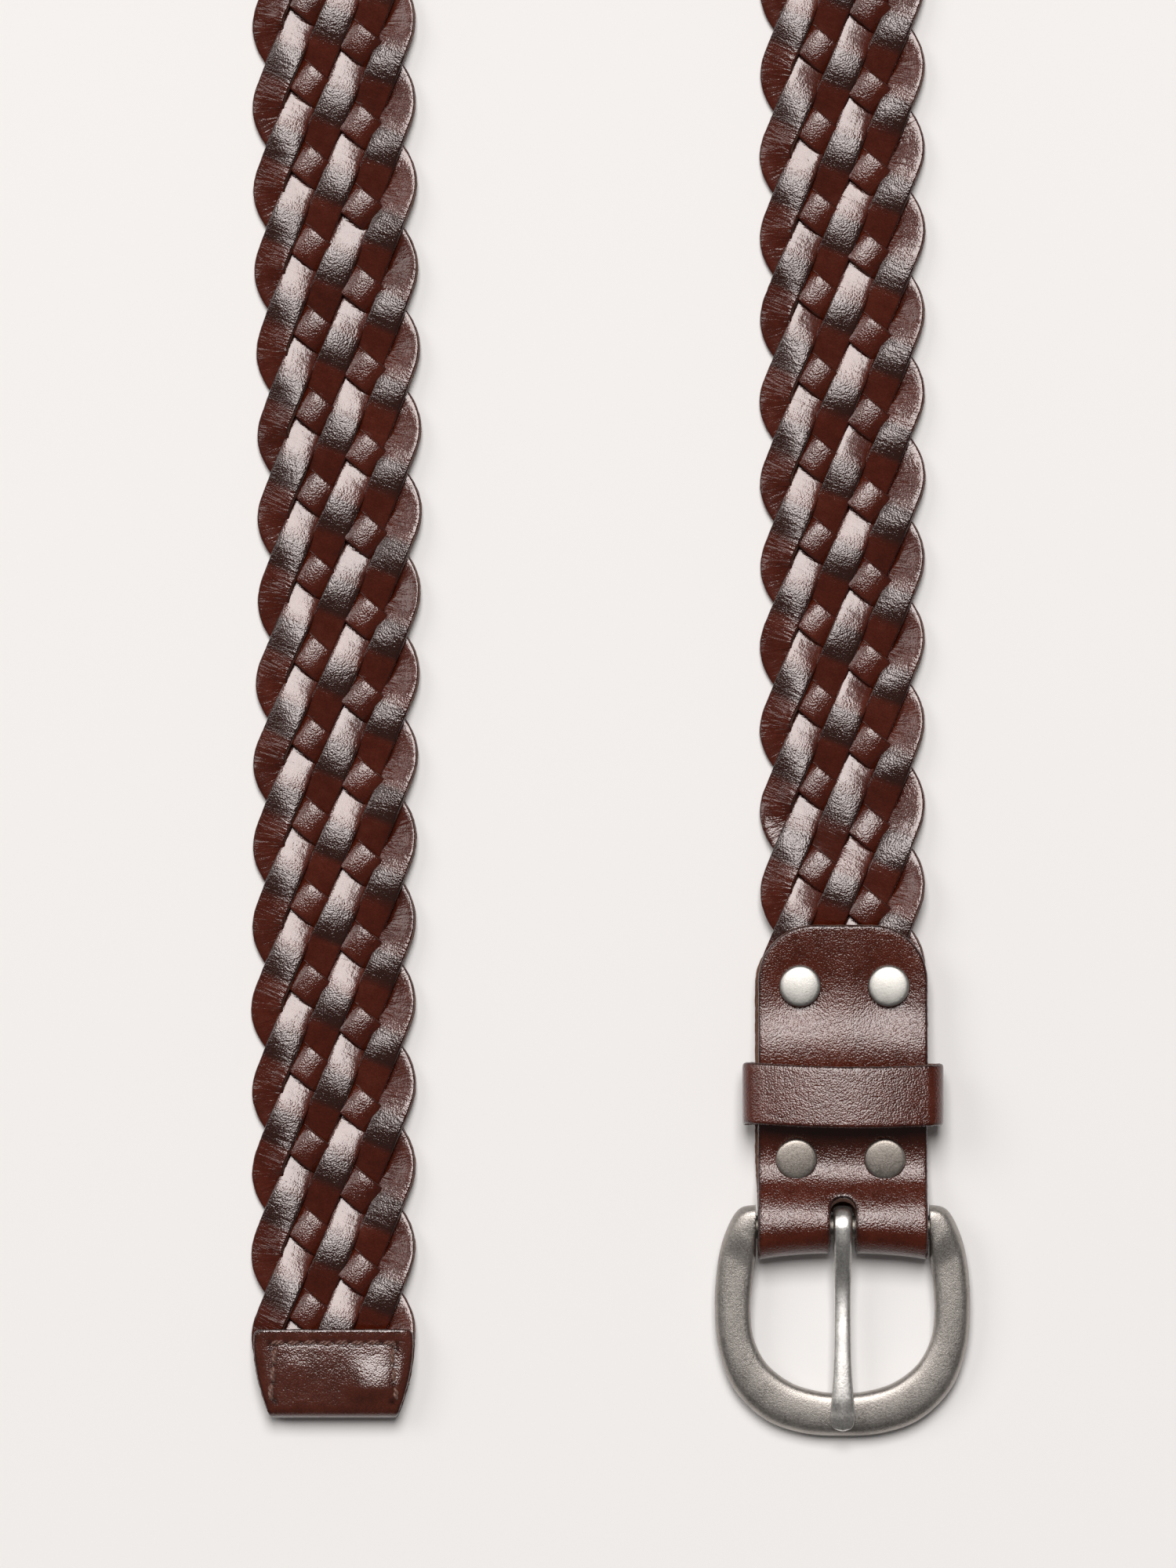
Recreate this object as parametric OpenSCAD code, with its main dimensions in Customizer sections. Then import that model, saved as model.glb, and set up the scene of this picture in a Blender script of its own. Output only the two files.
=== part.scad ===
// Braided leather belt, laid out as a long U: both ends lie flat side by side
// with the grain side up, and the middle of the belt turns up on its edge
// and goes round a half circle.
// Origin: centre of the footprint, on the surface the belt lies on.
// +Y points from the two ends towards the loop, +X from the tip leg to the
// buckle leg, +Z up.

/* [Strap] */
// Distance between the centre lines of the two legs
leg_gap = 105.2; // [100:0.2:112]
// Width of one braided strand
strand_w = 5.4; // [4.6:0.1:5.6]
// Thickness of one braided strand
strand_t = 1.2; // [1.0:0.05:1.25]
// Height of a strand's wave above and below the braid's middle
wave_h = 1.2; // [1.2:0.05:1.4]
// Sideways bow of the tip leg
bow = 1.25; // [0:0.05:2]

/* [Buckle end] */
// Width of the leather tab
tab_w = 35; // [34:0.5:35.5]
// Thickness of the tab leather
tab_t = 2.2; // [2.0:0.1:2.3]
// Radius of the hinge bar
bar_r = 2.4; // [2.2:0.05:2.5]
// Radius of the leather fold round the bar
fold_r = 3.0; // [2.9:0.05:3.2]
// Half width of the slot for the prong
slot_r = 2.7; // [2.6:0.05:2.9]
// Radius of a rivet cap
cap_r = 4.2; // [3.8:0.1:4.4]
// Half the distance between two rivets of a pair
rivet_x = 9.1; // [8.8:0.1:9.4]
// Width of the keeper band along the strap
keeper_w = 12.6; // [10:0.1:12.8]

/* [Buckle] */
// Thickness of the buckle frame
frame_t = 4.5; // [4:0.1:5]
// Width of the prong's barrel
barrel_w = 4.2; // [3.6:0.1:4.4]

/* [Tip] */
// Length of the end cap along the strap
endcap_l = 18.4; // [17:0.2:19.6]
// Thickness of the end cap leather
endcap_t = 1.1; // [0.9:0.05:1.2]

/* [Hidden] */
$fn = 48;

// ---- layout ----
mid_x = -4.9;                       // middle between the legs
lx = mid_x - leg_gap / 2;           // tip leg
rx = mid_x + leg_gap / 2;           // buckle leg
bar_y = -221.9;                     // hinge bar axis
tip_y = -261.4;                     // outer end of the tip
loop_y = 210.6;                     // centre of the half circle
loop_r = leg_gap / 2;
twist_y0 = 38;                      // the legs turn up on edge from here
twist_y1 = 176;                     // to here
s1 = loop_y - tip_y;                // end of the tip leg
s2 = s1 + PI * loop_r;              // end of the half circle
s3 = s2 + loop_y - bar_y;           // bar axis
braid_t = 2 * wave_h + strand_t;    // braid thickness
lobe_w = 16.3;                      // half width over the edge lobes

// ---- braid pattern: six strands, over one and under one ----
pitch = 16.94;                      // strand spacing along the strap
period = 6 * pitch;
amp = 15.75;                        // half height of the pointed zigzag
lean = 0.745;                       // share of the period on the long legs
turn = 6.8;                         // half length of a rounded turn
phase = 0.48;
m1 = 2 * amp / (lean * period);
m2 = 2 * amp / ((1 - lean) * period);
c1 = lean * period / 2;
xa = pitch * m2 / (m1 + m2);        // crossing spacing on the long legs
xb = pitch * m1 / (m1 + m2);        // and on the short legs
flat = 0.3;                         // half plateau, in crossings

function wrap(x) = x - period * floor((x + period / 2) / period);
function zig(x) = x < c1 - turn ? m1 * x
    : x < c1 + turn ? amp - m1 * turn + m1 * (x - c1 + turn) - (m1 + m2) * pow(x - c1 + turn, 2) / (4 * turn)
    : amp - m2 * (x - c1);
function across(x) = let (q = wrap(x)) q < 0 ? -zig(-q) : zig(q);
function slope(x) = (across(x + 0.05) - across(x - 0.05)) / 0.1;
// rings of half a period as [x, w]: plateaus over and under, and the turn
half_rings = concat(
    [[flat * xa, 1], [(1 - flat) * xa, -1], [(1 + flat) * xa, -1], [(2 - flat) * xa, 1], [(2 + flat) * xa, 1]],
    [for (i = [1:4]) let (a0 = (2 + flat) * xa, a1 = c1 + (1 - flat) * xb) [a0 + (a1 - a0) * i / 5, cos(180 * i / 5)]],
    [[c1 + (1 - flat) * xb, -1], [c1 + (1 + flat) * xb, -1], [c1 + (2 - flat) * xb, 1], [c1 + (2 + flat) * xb, 1], [c1 + (3 - flat) * xb, -1]]);
nh = len(half_rings);
rings = concat([for (i = [nh - 1:-1:0]) [-half_rings[i][0], half_rings[i][1]]], half_rings);
function wave(x) = lookup(wrap(x), rings);

// ---- spine: place of a point s along, u across and w up in the belt ----
function ease(t) = t <= 0 ? 0 : t >= 1 ? 1 : (1 - cos(180 * t)) / 2;
function twist(y) = 90 * ease((y - twist_y0) / (twist_y1 - twist_y0));
// the braid climbs onto the lower leather at both ends
function lift(s) = (endcap_t + 0.05) * (1 - ease((s - 19) / 26))
    + (tab_t + 0.05) * ease((s - (s3 - 92)) / 27);
function sway(y) = bow * exp(-pow((y + 74) / 52, 2));
function leg(s, u, w, y, x, dir) = let (a = twist(y))
    [x + dir * (u * cos(a) - w * sin(a)), y,
        lobe_w * sin(a) + (braid_t / 2 + lift(s)) * cos(a) + u * sin(a) + w * cos(a)];
function place(s, u, w) = s <= s1 ? leg(s, u, w, tip_y + s, lx + sway(tip_y + s), 1)
    : s < s2 ? let (a = 180 * (s - s1) / (s2 - s1))
        [mid_x - (loop_r + w) * cos(a), loop_y + (loop_r + w) * sin(a), lobe_w + u]
    : leg(s, u, w, loop_y - (s - s2), rx, -1);

// ---- buckle end section: z of the front flap's underside, y from the bar ----
bar_z = tab_t + fold_r;
lap = 0.05;                         // space left between layers
flap_rivet = tab_t + 0.1;           // underside at the lower rivets
flap_keeper = tab_t + 1.6;          // underside over the keeper's back layer
flap_braid = tab_t + braid_t + 2 * lap;
function flap(y) = bar_z + fold_r + (flap_rivet - bar_z - fold_r) * ease(y / 9.2)
    + (flap_keeper - flap_rivet) * ease((y - 18.3) / 2.4)
    + (flap_braid - flap_keeper) * ease((y - 39.4) / 4.2);
tab_top = 62.4;
slot_top = 6.9;
low_y = 14.0;                       // lower rivet pair, from the bar
up_y = 49.8;                        // upper rivet pair
keeper_y = 27.4;                    // middle of the keeper
strand_end = s3 - 52.3;

// ---- buckle outline, from the bar axis: [x, y] of one half, far end last ----
outer = [[17.2, 4.6], [21.5, 3.5], [24.4, -1.8], [25.9, -8.4], [26.4, -16.9], [25.6, -25.4], [22.5, -33.6], [16.2, -39.9], [8.4, -42.8], [0, -43.4]];
inner = [[15.0, 0.0], [17.3, -2.0], [18.0, -6.5], [18.7, -12.0], [19.0, -17.8], [18.3, -23.4], [15.6, -28.6], [10.8, -32.4], [5.4, -34.2], [0, -34.7]];
function cr(a, b, c, d, t) = 0.5 * (2 * b + (c - a) * t + (2 * a - 5 * b + 4 * c - d) * t * t + (3 * b - a - 3 * c + d) * pow(t, 3));
function mir(v) = [-v[0], v[1]];
function side(p, i) = i < 0 ? 2 * p[0] - p[1] : i > 9 ? mir(p[18 - i]) : p[i];
function edge(p, t) = let (i = min(floor(t), 8)) cr(side(p, i - 1), side(p, i), side(p, i + 1), side(p, i + 2), t - i);
far = 42.72;
bar_l = 38.2;                       // hinge bar, set into the frame at both ends
rest_tilt = asin(bar_z / norm([far, frame_t / 2])) - atan2(frame_t / 2, far);

leather = [0.36, 0.14, 0.09];
leather_dark = [0.27, 0.10, 0.07];
nickel = [0.62, 0.60, 0.57];
thread = [0.20, 0.08, 0.05];

// one flat strand swept along its wave; k is its place in the braid
module strand(k, s_from, s_to) {
    off = phase + k * pitch;
    n0 = floor((s_from - off) / period) - 1;
    n1 = ceil((s_to - off) / period) + 1;
    all = [for (n = [n0:n1]) for (r = rings) let (s = off + n * period + r[0]) if (s > s_from + 0.8 && s < s_to - 0.8) [s, r[0], r[1]]];
    list = concat([[s_from, s_from - off, wave(s_from - off)]], all, [[s_to, s_to - off, wave(s_to - off)]]);
    pts = [for (r = list) let (u = across(r[1]), m = slope(r[1]), b = [-m, 1] / norm([m, 1]))
        for (c = [[-1, -1], [1, -1], [1, 1], [-1, 1]])
            place(r[0] + b[0] * c[0] * strand_w / 2, u + b[1] * c[0] * strand_w / 2, r[2] * wave_h + c[1] * strand_t / 2)];
    n = len(list);
    polyhedron(pts, concat(
        [[3, 2, 1, 0]],
        [for (i = [0:n - 2]) for (j = [0:3]) let (a = 4 * i + j, b = 4 * i + (j + 1) % 4) each [[a, b + 4, a + 4], [a, b, b + 4]]],
        [[4 * n - 4, 4 * n - 3, 4 * n - 2, 4 * n - 1]]), convexity = 10);
}
// each strand comes in three lengths: the two flat legs, and the bend between them
bend_from = twist_y0 - tip_y;
bend_to = s2 + loop_y - twist_y0;
module tip_leg(k, c) color(c) strand(k, 6.0, bend_from);
module bend(k, c) color(c) strand(k, bend_from, bend_to);
module buckle_leg(k, c) color(c) strand(k, bend_to, strand_end);

// outline of one side of the end cap, from its outer end
cap_side = [[12.6, 0], [13.3, 0.5], [14.5, 4], [15.6, 8], [16.3, 12], [16.5, 15], [16.4, 17.6], [15.6, endcap_l]];
module endcap_outline() polygon(concat(cap_side, [for (i = [len(cap_side) - 1:-1:0]) mir(cap_side[i])]));
cap_h = braid_t + 2 * endcap_t + 0.1;
module stitch_holes() {
    for (q = stitches_all) translate([q[0], q[1], 0]) {
        translate([-stitch_r, -stitch_r - q[3], -0.1]) cube([2 * stitch_r, 2 * stitch_r + 2 * q[3], stitch_d + 0.15]);
    }
}
stitch_r = 0.35;
stitch_d = 0.55;
top_row = [for (i = [0:7]) [-11.55 + 3.3 * i, 15.6, 1.25, 0]];
left_col = [for (i = [0:2]) [-12.9 + 0.35 * (2 - i), 12.6 - 3.6 * i, 0, 1.35]];
right_col = [for (i = [0:2]) [12.9 - 0.35 * (2 - i), 12.6 - 3.6 * i, 0, 1.35]];
stitches_all = concat(top_row, left_col, right_col);
// one folded piece: lower layer, end fold, upper layer, with grooves below for the thread
module end_cap() color(leather_dark) translate([lx + sway(tip_y), tip_y, 0]) difference() {
    intersection() {
        linear_extrude(cap_h) endcap_outline();
        rotate([90, 0, 90]) translate([0, 0, -20]) linear_extrude(40) union() {
            translate([cap_h / 2, 0]) square([endcap_l, cap_h]);
            translate([cap_h / 2, cap_h / 2]) circle(r = cap_h / 2);
        }
    }
    translate([-20, 3.4, endcap_t]) cube([40, endcap_l, braid_t + 0.1]);
    for (q = stitches_all) translate([q[0] - max(q[2], stitch_r), q[1] - max(q[3], stitch_r), -1]) cube([2 * max(q[2], stitch_r), 2 * max(q[3], stitch_r), 1 + stitch_d]);
}
// thread shown above and below the cap for each stitch
module stitches(list) color(thread) translate([lx + sway(tip_y), tip_y, 0]) for (q = list) translate([q[0], q[1], 0]) {
    a = max(q[2], stitch_r);
    b = max(q[3], stitch_r);
    translate([-a, -b, 0.04]) cube([2 * a, 2 * b, stitch_d - 0.04]);
    translate([0, 0, cap_h]) rotate(q[2] > 0 ? 90 : 0) rotate([90, 0, 0]) translate([0, 0, -max(q[2], q[3])])
        intersection() { cylinder(r = 0.45, h = 2 * max(q[2], q[3]), $fn = 24); translate([-1, 0, -1]) cube([2, 1, 6]); }
}

function arc(cx, cy, r, a0, n) = [for (i = [0:n]) [cx + r * cos(a0 + 90 * i / n), cy + r * sin(a0 + 90 * i / n)]];
// the tab: one strip folded round the bar, with slot and rivet holes
function strip(lo, hi, step) = [for (y = [lo:step:hi]) y];
ys = concat(strip(0, 8.8, 0.8), [9.2, 13.6, 18.3], strip(18.9, 20.7, 0.6), [30, 39.4], strip(40.1, 43.6, 0.7), [52, tab_top + 2]);
// upper face of the front flap over a point of its underside
function outer_at(y) = let (g = (flap(y + 0.1) - flap(max(y - 0.1, 0))) / 0.2, v = [-g, 1] / norm([g, 1]))
    y < 12 ? [y + v[0] * tab_t, flap(y) + v[1] * tab_t] : [y, flap(y) + tab_t];
// side view of the strip: lower flap, fold, upper flap
module tab_section() {
    n = len(ys);
    polygon(concat(
        [[tab_top + 2, tab_t], [tab_top + 2, 0]],
        [for (i = [0:16]) let (a = -90 - 180 * i / 16) [(fold_r + tab_t) * cos(a), bar_z + (fold_r + tab_t) * sin(a)]],
        [for (i = [1:n - 1]) outer_at(ys[i])],
        [for (i = [n - 1:-1:0]) [ys[i], flap(ys[i])]],
        [for (i = [1:16]) let (a = 90 + 180 * i / 16) [fold_r * cos(a), bar_z + fold_r * sin(a)]]));
}
tab_corner = 11.5;
module tab_plan(y0 = -10) polygon(concat([[-tab_w / 2, y0], [tab_w / 2, y0]],
    arc(tab_w / 2 - tab_corner, tab_top - tab_corner, tab_corner, 0, 16),
    arc(-tab_w / 2 + tab_corner, tab_top - tab_corner, tab_corner, 90, 16)));
module rivet_at(y) for (s = [-1, 1]) translate([s * rivet_x, y, 0]) children();
module buckle_tab() color(leather_dark) translate([rx, bar_y, 0]) difference() {
    intersection() {
        linear_extrude(14) tab_plan();
        rotate([90, 0, 90]) translate([0, 0, -20]) linear_extrude(40) tab_section();
    }
    translate([-slot_r, -8, -1]) cube([2 * slot_r, 8 + slot_top - slot_r, 20]);
    translate([0, slot_top - slot_r, -1]) cylinder(r = slot_r, h = 20);
    rivet_at(low_y) { translate([0, 0, -1]) cylinder(r = 1.5, h = 20); translate([0, 0, -1]) cylinder(r = 3.1, h = 1.65); }
    rivet_at(up_y) { translate([0, 0, -1]) cylinder(r = 1.5, h = 20); translate([0, 0, -1]) cylinder(r = 3.1, h = 1.65); }
}

// rivets: domed cap above, post and flush back plate below
cap_z_low = flap_rivet + tab_t;
cap_z_up = flap_braid + tab_t;
module rivet_cap() rotate_extrude($fn = 64) polygon(concat([[0, 0], [cap_r - 0.25, 0], [cap_r, 0.3], [cap_r, 0.6]], [for (i = [1:8]) [cap_r * cos(90 * i / 8), 0.6 + 1.1 * sin(90 * i / 8)]]));
module rivet_post(top) { cylinder(r = 1.4, h = top); cylinder(r = 3.0, h = 0.6); }

// keeper: closed band round the front flap
kz0 = tab_t + 0.2;                  // underside of its back layer
kz1 = 13.5;                         // top
function band(x, z0, z1, r0, r1) = concat(arc(x - r1, z1 - r1, r1, 0, 8), arc(-x + r1, z1 - r1, r1, 90, 8), arc(-x + r0, z0 + r0, r0, 180, 6), arc(x - r0, z0 + r0, r0, 270, 6));
module keeper_loop() color(leather) translate([rx, bar_y + keeper_y + keeper_w / 2, 0]) rotate([90, 0, 0]) linear_extrude(keeper_w) difference() {
    polygon(band(20.8, kz0, kz1, 2.6, 4.2));
    polygon(band(19.1, kz0 + 1.2, kz1 - 1.4, 1.2, 2.8));
    translate([-5, kz0 - 1]) square([10, 1.35]);
}
// wire staple that joins the butted ends of the keeper under the front flap
module keeper_staple() color(nickel) translate([rx, bar_y + keeper_y, kz0 + 0.03]) for (s = [-1, 1])
    translate([-4.6, s * 3 - 0.35, 0]) cube([9.2, 0.7, 0.3]);

// buckle frame: swept section round the outline, cut flat beside the leather
stations = 56;
function fpt(t) = t <= 9 ? [edge(inner, t), edge(outer, t)] : [mir(edge(inner, 18 - t)), mir(edge(outer, 18 - t))];
function fsec(io) = let (i = io[0], o = io[1], d = o - i, h = frame_t / 2)
    [[i + d * 0.08, -h], [i, -h + 0.9], [i, 0.5], [i + d * 0.2, h - 0.5], [i + d * 0.55, h], [i + d * 0.85, h - 0.8], [o, 0.1], [o, -h + 1.0], [i + d * 0.92, -h]];
module frame_sweep() {
    pts = [for (k = [0:stations]) for (q = fsec(fpt(18 * k / stations))) [q[0][0], q[0][1], q[1]]];
    m = 9;
    polyhedron(pts, concat([[for (j = [m - 1:-1:0]) j]],
        [for (k = [0:stations - 1]) for (j = [0:m - 1]) let (a = m * k + j, b = m * k + (j + 1) % m) each [[a, b, b + m], [a, b + m, a + m]]],
        [[for (j = [0:m - 1]) m * stations + j]]), convexity = 6);
}
module at_bar() translate([rx, bar_y, bar_z]) rotate([rest_tilt, 0, 0]) children();
module buckle_frame() color(nickel) at_bar() difference() {
    frame_sweep();
    translate([-17.9, -7.2, -10]) cube([35.8, 20, 20]);
    translate([-bar_l / 2, 0, 0]) rotate([0, 90, 0]) cylinder(r = bar_r, h = bar_l);
}
module hinge_bar() color(nickel) at_bar() translate([-bar_l / 2, 0, 0]) rotate([0, 90, 0]) cylinder(r = bar_r, h = bar_l);

// prong: barrel on the bar, tapering shaft, spoon tip resting on the frame
prong_rest = [[-1.0, 2.3, 1.8, 1.2], [-4, 2.45, 1.75, 1.15], [-10, 2.2, 1.55, 1.15], [-17, 1.9, 1.4, 1.1], [-24, 1.7, 1.5, 1.1], [-30, 1.75, 1.8, 1.1], [-35, 2.6, 2.2, 1.0], [-39.5, 3.1, 2.35, 0.8], [-42.0, 2.9, 1.7, 0.5]];
module prong_shaft() {
    m = 8;
    n = len(prong_rest);
    pts = [for (q = prong_rest) for (j = [0:m - 1]) let (a = 22.5 + 45 * j) [q[2] * cos(a) / cos(22.5), q[0], q[1] + q[3] * sin(a) / cos(22.5)]];
    polyhedron(pts, concat([[for (j = [0:m - 1]) j]],
        [for (k = [0:n - 2]) for (j = [0:m - 1]) let (a = m * k + j, b = m * k + (j + 1) % m) each [[a, a + m, b + m], [a, b + m, b]]],
        [[for (j = [m - 1:-1:0]) m * (n - 1) + j]]), convexity = 4);
}
module prong() color(nickel) at_bar() difference() {
    union() {
        prong_shaft();
        translate([-barrel_w / 2, 0, 0]) rotate([0, 90, 0]) cylinder(r = 3.9, h = barrel_w, $fn = 64);
    }
    translate([-5, 0, 0]) rotate([0, 90, 0]) cylinder(r = bar_r + 0.08, h = 10, $fn = 64);
}

tip_leg(0, leather);  // strand_1_tip_leg
tip_leg(1, leather_dark);  // strand_2_tip_leg
tip_leg(2, leather);  // strand_3_tip_leg
tip_leg(3, leather_dark);  // strand_4_tip_leg
tip_leg(4, leather);  // strand_5_tip_leg
tip_leg(5, leather_dark);  // strand_6_tip_leg
bend(0, leather);  // strand_1_bend
bend(1, leather_dark);  // strand_2_bend
bend(2, leather);  // strand_3_bend
bend(3, leather_dark);  // strand_4_bend
bend(4, leather);  // strand_5_bend
bend(5, leather_dark);  // strand_6_bend
buckle_leg(0, leather);  // strand_1_buckle_leg
buckle_leg(1, leather_dark);  // strand_2_buckle_leg
buckle_leg(2, leather);  // strand_3_buckle_leg
buckle_leg(3, leather_dark);  // strand_4_buckle_leg
buckle_leg(4, leather);  // strand_5_buckle_leg
buckle_leg(5, leather_dark);  // strand_6_buckle_leg
end_cap();
stitches(top_row);  // stitch_top_row
stitches(left_col);  // stitch_left_column
stitches(right_col);  // stitch_right_column
buckle_tab();
keeper_loop();
keeper_staple();
color(nickel) translate([rx, bar_y, cap_z_up]) rivet_at(up_y) rivet_cap();  // rivet_caps_upper
color(nickel) translate([rx, bar_y, cap_z_low]) rivet_at(low_y) rivet_cap();  // rivet_caps_lower
color(nickel) translate([rx, bar_y, 0]) rivet_at(up_y) rivet_post(cap_z_up);  // rivet_posts_upper
color(nickel) translate([rx, bar_y, 0]) rivet_at(low_y) rivet_post(cap_z_low);  // rivet_posts_lower
buckle_frame();
hinge_bar();
prong();
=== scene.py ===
import bpy
import math
import numpy as np
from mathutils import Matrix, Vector
from mathutils.geometry import delaunay_2d_cdt


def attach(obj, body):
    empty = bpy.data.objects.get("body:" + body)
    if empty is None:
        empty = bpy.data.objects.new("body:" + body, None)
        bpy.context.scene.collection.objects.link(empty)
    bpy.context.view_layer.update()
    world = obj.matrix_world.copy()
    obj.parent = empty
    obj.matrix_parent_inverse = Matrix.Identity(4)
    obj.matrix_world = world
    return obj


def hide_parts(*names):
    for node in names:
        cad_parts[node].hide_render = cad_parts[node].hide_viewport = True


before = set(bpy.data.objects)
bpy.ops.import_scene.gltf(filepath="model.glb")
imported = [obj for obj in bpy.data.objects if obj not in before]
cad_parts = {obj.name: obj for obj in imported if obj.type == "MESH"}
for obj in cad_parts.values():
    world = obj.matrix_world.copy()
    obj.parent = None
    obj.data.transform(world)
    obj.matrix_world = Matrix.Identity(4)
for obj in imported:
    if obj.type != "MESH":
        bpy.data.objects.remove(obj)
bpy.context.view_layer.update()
rng = np.random.RandomState(7)
MM = 0.001

# ------------------------------------------------------------------ layout (mm), as in the CAD model
MID, GAP = -4.9, 105.2
LX, RX = MID - GAP / 2, MID + GAP / 2
BAR_Y, TIP_Y, LOOP_Y, LOOP_R = -221.9, -261.4, 210.6, GAP / 2
TW0, TW1 = 38.0, 176.0
S1 = LOOP_Y - TIP_Y
S2 = S1 + math.pi * LOOP_R
S3 = S2 + LOOP_Y - BAR_Y
CAP_T, TAB_T = 1.1, 2.2
LOBE_W = 16.3
BRAID_T = 3.6
PITCH = 16.94
PERIOD = 6 * PITCH
AMP, LEAN, TURN, PHASE = 15.75, 0.745, 6.8, 0.48
M1 = 2 * AMP / (LEAN * PERIOD)
M2 = 2 * AMP / ((1 - LEAN) * PERIOD)
C1 = LEAN * PERIOD / 2
XA = PITCH * M2 / (M1 + M2)
XB = PITCH * M1 / (M1 + M2)
BAR_Z = 5.2
BAR_R = 2.4


def ease(t):
    t = np.clip(t, 0, 1)
    return (1 - np.cos(np.pi * t)) / 2


def smooth(t):
    t = np.clip(t, 0, 1)
    return t * t * (3 - 2 * t)


def across(x):
    q = x - PERIOD * np.floor((x + PERIOD / 2) / PERIOD)
    s = np.where(q < 0, -1.0, 1.0)
    q = np.abs(q)
    e = q - C1 + TURN
    z = np.where(q < C1 - TURN, M1 * q,
                 np.where(q < C1 + TURN, AMP - M1 * TURN + M1 * e - (M1 + M2) * e * e / (4 * TURN), AMP - M2 * (q - C1)))
    return s * z


def lift(s):
    return (CAP_T + 0.05) * (1 - ease((s - 19) / 26)) + (TAB_T + 0.05) * ease((s - (S3 - 92)) / 27)


def sway(y):
    return 1.25 * np.exp(-((y + 74) / 52) ** 2)


def place(s, u, w):
    """Point s along, u across and w up in the belt, as an (n, 3) array."""
    s, u, w = np.broadcast_arrays(s, u, w)
    out = np.zeros(s.shape + (3,))
    left = s <= S1
    right = s >= S2
    mid = ~left & ~right
    for m, d, x0 in ((left, 1, LX), (right, -1, RX)):
        y = np.where(d > 0, TIP_Y + s, LOOP_Y - (s - S2))
        a = math.pi / 2 * ease((y - TW0) / (TW1 - TW0))
        x = x0 + (sway(y) if d > 0 else 0) + d * (u * np.cos(a) - w * np.sin(a))
        z = LOBE_W * np.sin(a) + (BRAID_T / 2 + lift(s)) * np.cos(a) + u * np.sin(a) + w * np.cos(a)
        out[m] = np.stack([x, y, z], -1)[m]
    a = math.pi * (s - S1) / (S2 - S1)
    out[mid] = np.stack([MID - (LOOP_R + w) * np.cos(a), LOOP_Y + (LOOP_R + w) * np.sin(a), LOBE_W + u], -1)[mid]
    return out


# ------------------------------------------------------------------ materials
def nodes_of(name):
    m = bpy.data.materials.new(name)
    m.use_nodes = True
    nt = m.node_tree
    return m, nt, nt.nodes["Principled BSDF"]


def link(nt, a, b):
    nt.links.new(a, b)


def ramp(nt, fac, stops, interp="LINEAR"):
    r = nt.nodes.new("ShaderNodeValToRGB")
    r.color_ramp.interpolation = interp
    while len(r.color_ramp.elements) < len(stops):
        r.color_ramp.elements.new(0.5)
    for e, (p, c) in zip(r.color_ramp.elements, stops):
        e.position = p
        e.color = tuple(c) + (1,) if len(c) == 3 else c
    link(nt, fac, r.inputs["Fac"])
    return r.outputs["Color"]


def math_node(nt, op, a, b=None, clamp=False):
    n = nt.nodes.new("ShaderNodeMath")
    n.operation = op
    n.use_clamp = clamp
    for i, v in enumerate((a, b)):
        if v is None:
            continue
        if isinstance(v, (int, float)):
            n.inputs[i].default_value = v
        else:
            link(nt, v, n.inputs[i])
    return n.outputs[0]


def mix_color(nt, fac, a, b, mode="MIX"):
    n = nt.nodes.new("ShaderNodeMix")
    n.data_type = "RGBA"
    n.blend_type = mode
    for sock, v in ((n.inputs[0], fac), (n.inputs[6], a), (n.inputs[7], b)):
        if isinstance(v, (int, float)):
            sock.default_value = v
        elif isinstance(v, (tuple, list)):
            sock.default_value = tuple(v) + (1,)
        else:
            link(nt, v, sock)
    return n.outputs[2]


def noise(nt, vec, scale, detail=2.0, rough=0.5, dist=0.0):
    n = nt.nodes.new("ShaderNodeTexNoise")
    n.inputs["Scale"].default_value = scale
    n.inputs["Detail"].default_value = detail
    n.inputs["Roughness"].default_value = rough
    n.inputs["Distortion"].default_value = dist
    link(nt, vec, n.inputs["Vector"])
    return n.outputs["Fac"]


def voronoi(nt, vec, scale, feature="F1", smoothness=None):
    n = nt.nodes.new("ShaderNodeTexVoronoi")
    n.feature = feature
    n.inputs["Scale"].default_value = scale
    if smoothness is not None and "Smoothness" in n.inputs:
        n.inputs["Smoothness"].default_value = smoothness
    link(nt, vec, n.inputs["Vector"])
    return n.outputs["Distance"]


def attr(nt, name):
    n = nt.nodes.new("ShaderNodeAttribute")
    n.attribute_name = name
    return n.outputs["Fac"]


def bump(nt, height, strength, distance, normal=None):
    n = nt.nodes.new("ShaderNodeBump")
    n.inputs["Strength"].default_value = strength
    n.inputs["Distance"].default_value = distance
    link(nt, height, n.inputs["Height"])
    if normal is not None:
        link(nt, normal, n.inputs["Normal"])
    return n.outputs["Normal"]


def obj_coord(nt):
    return nt.nodes.new("ShaderNodeTexCoord").outputs["Object"]


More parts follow.
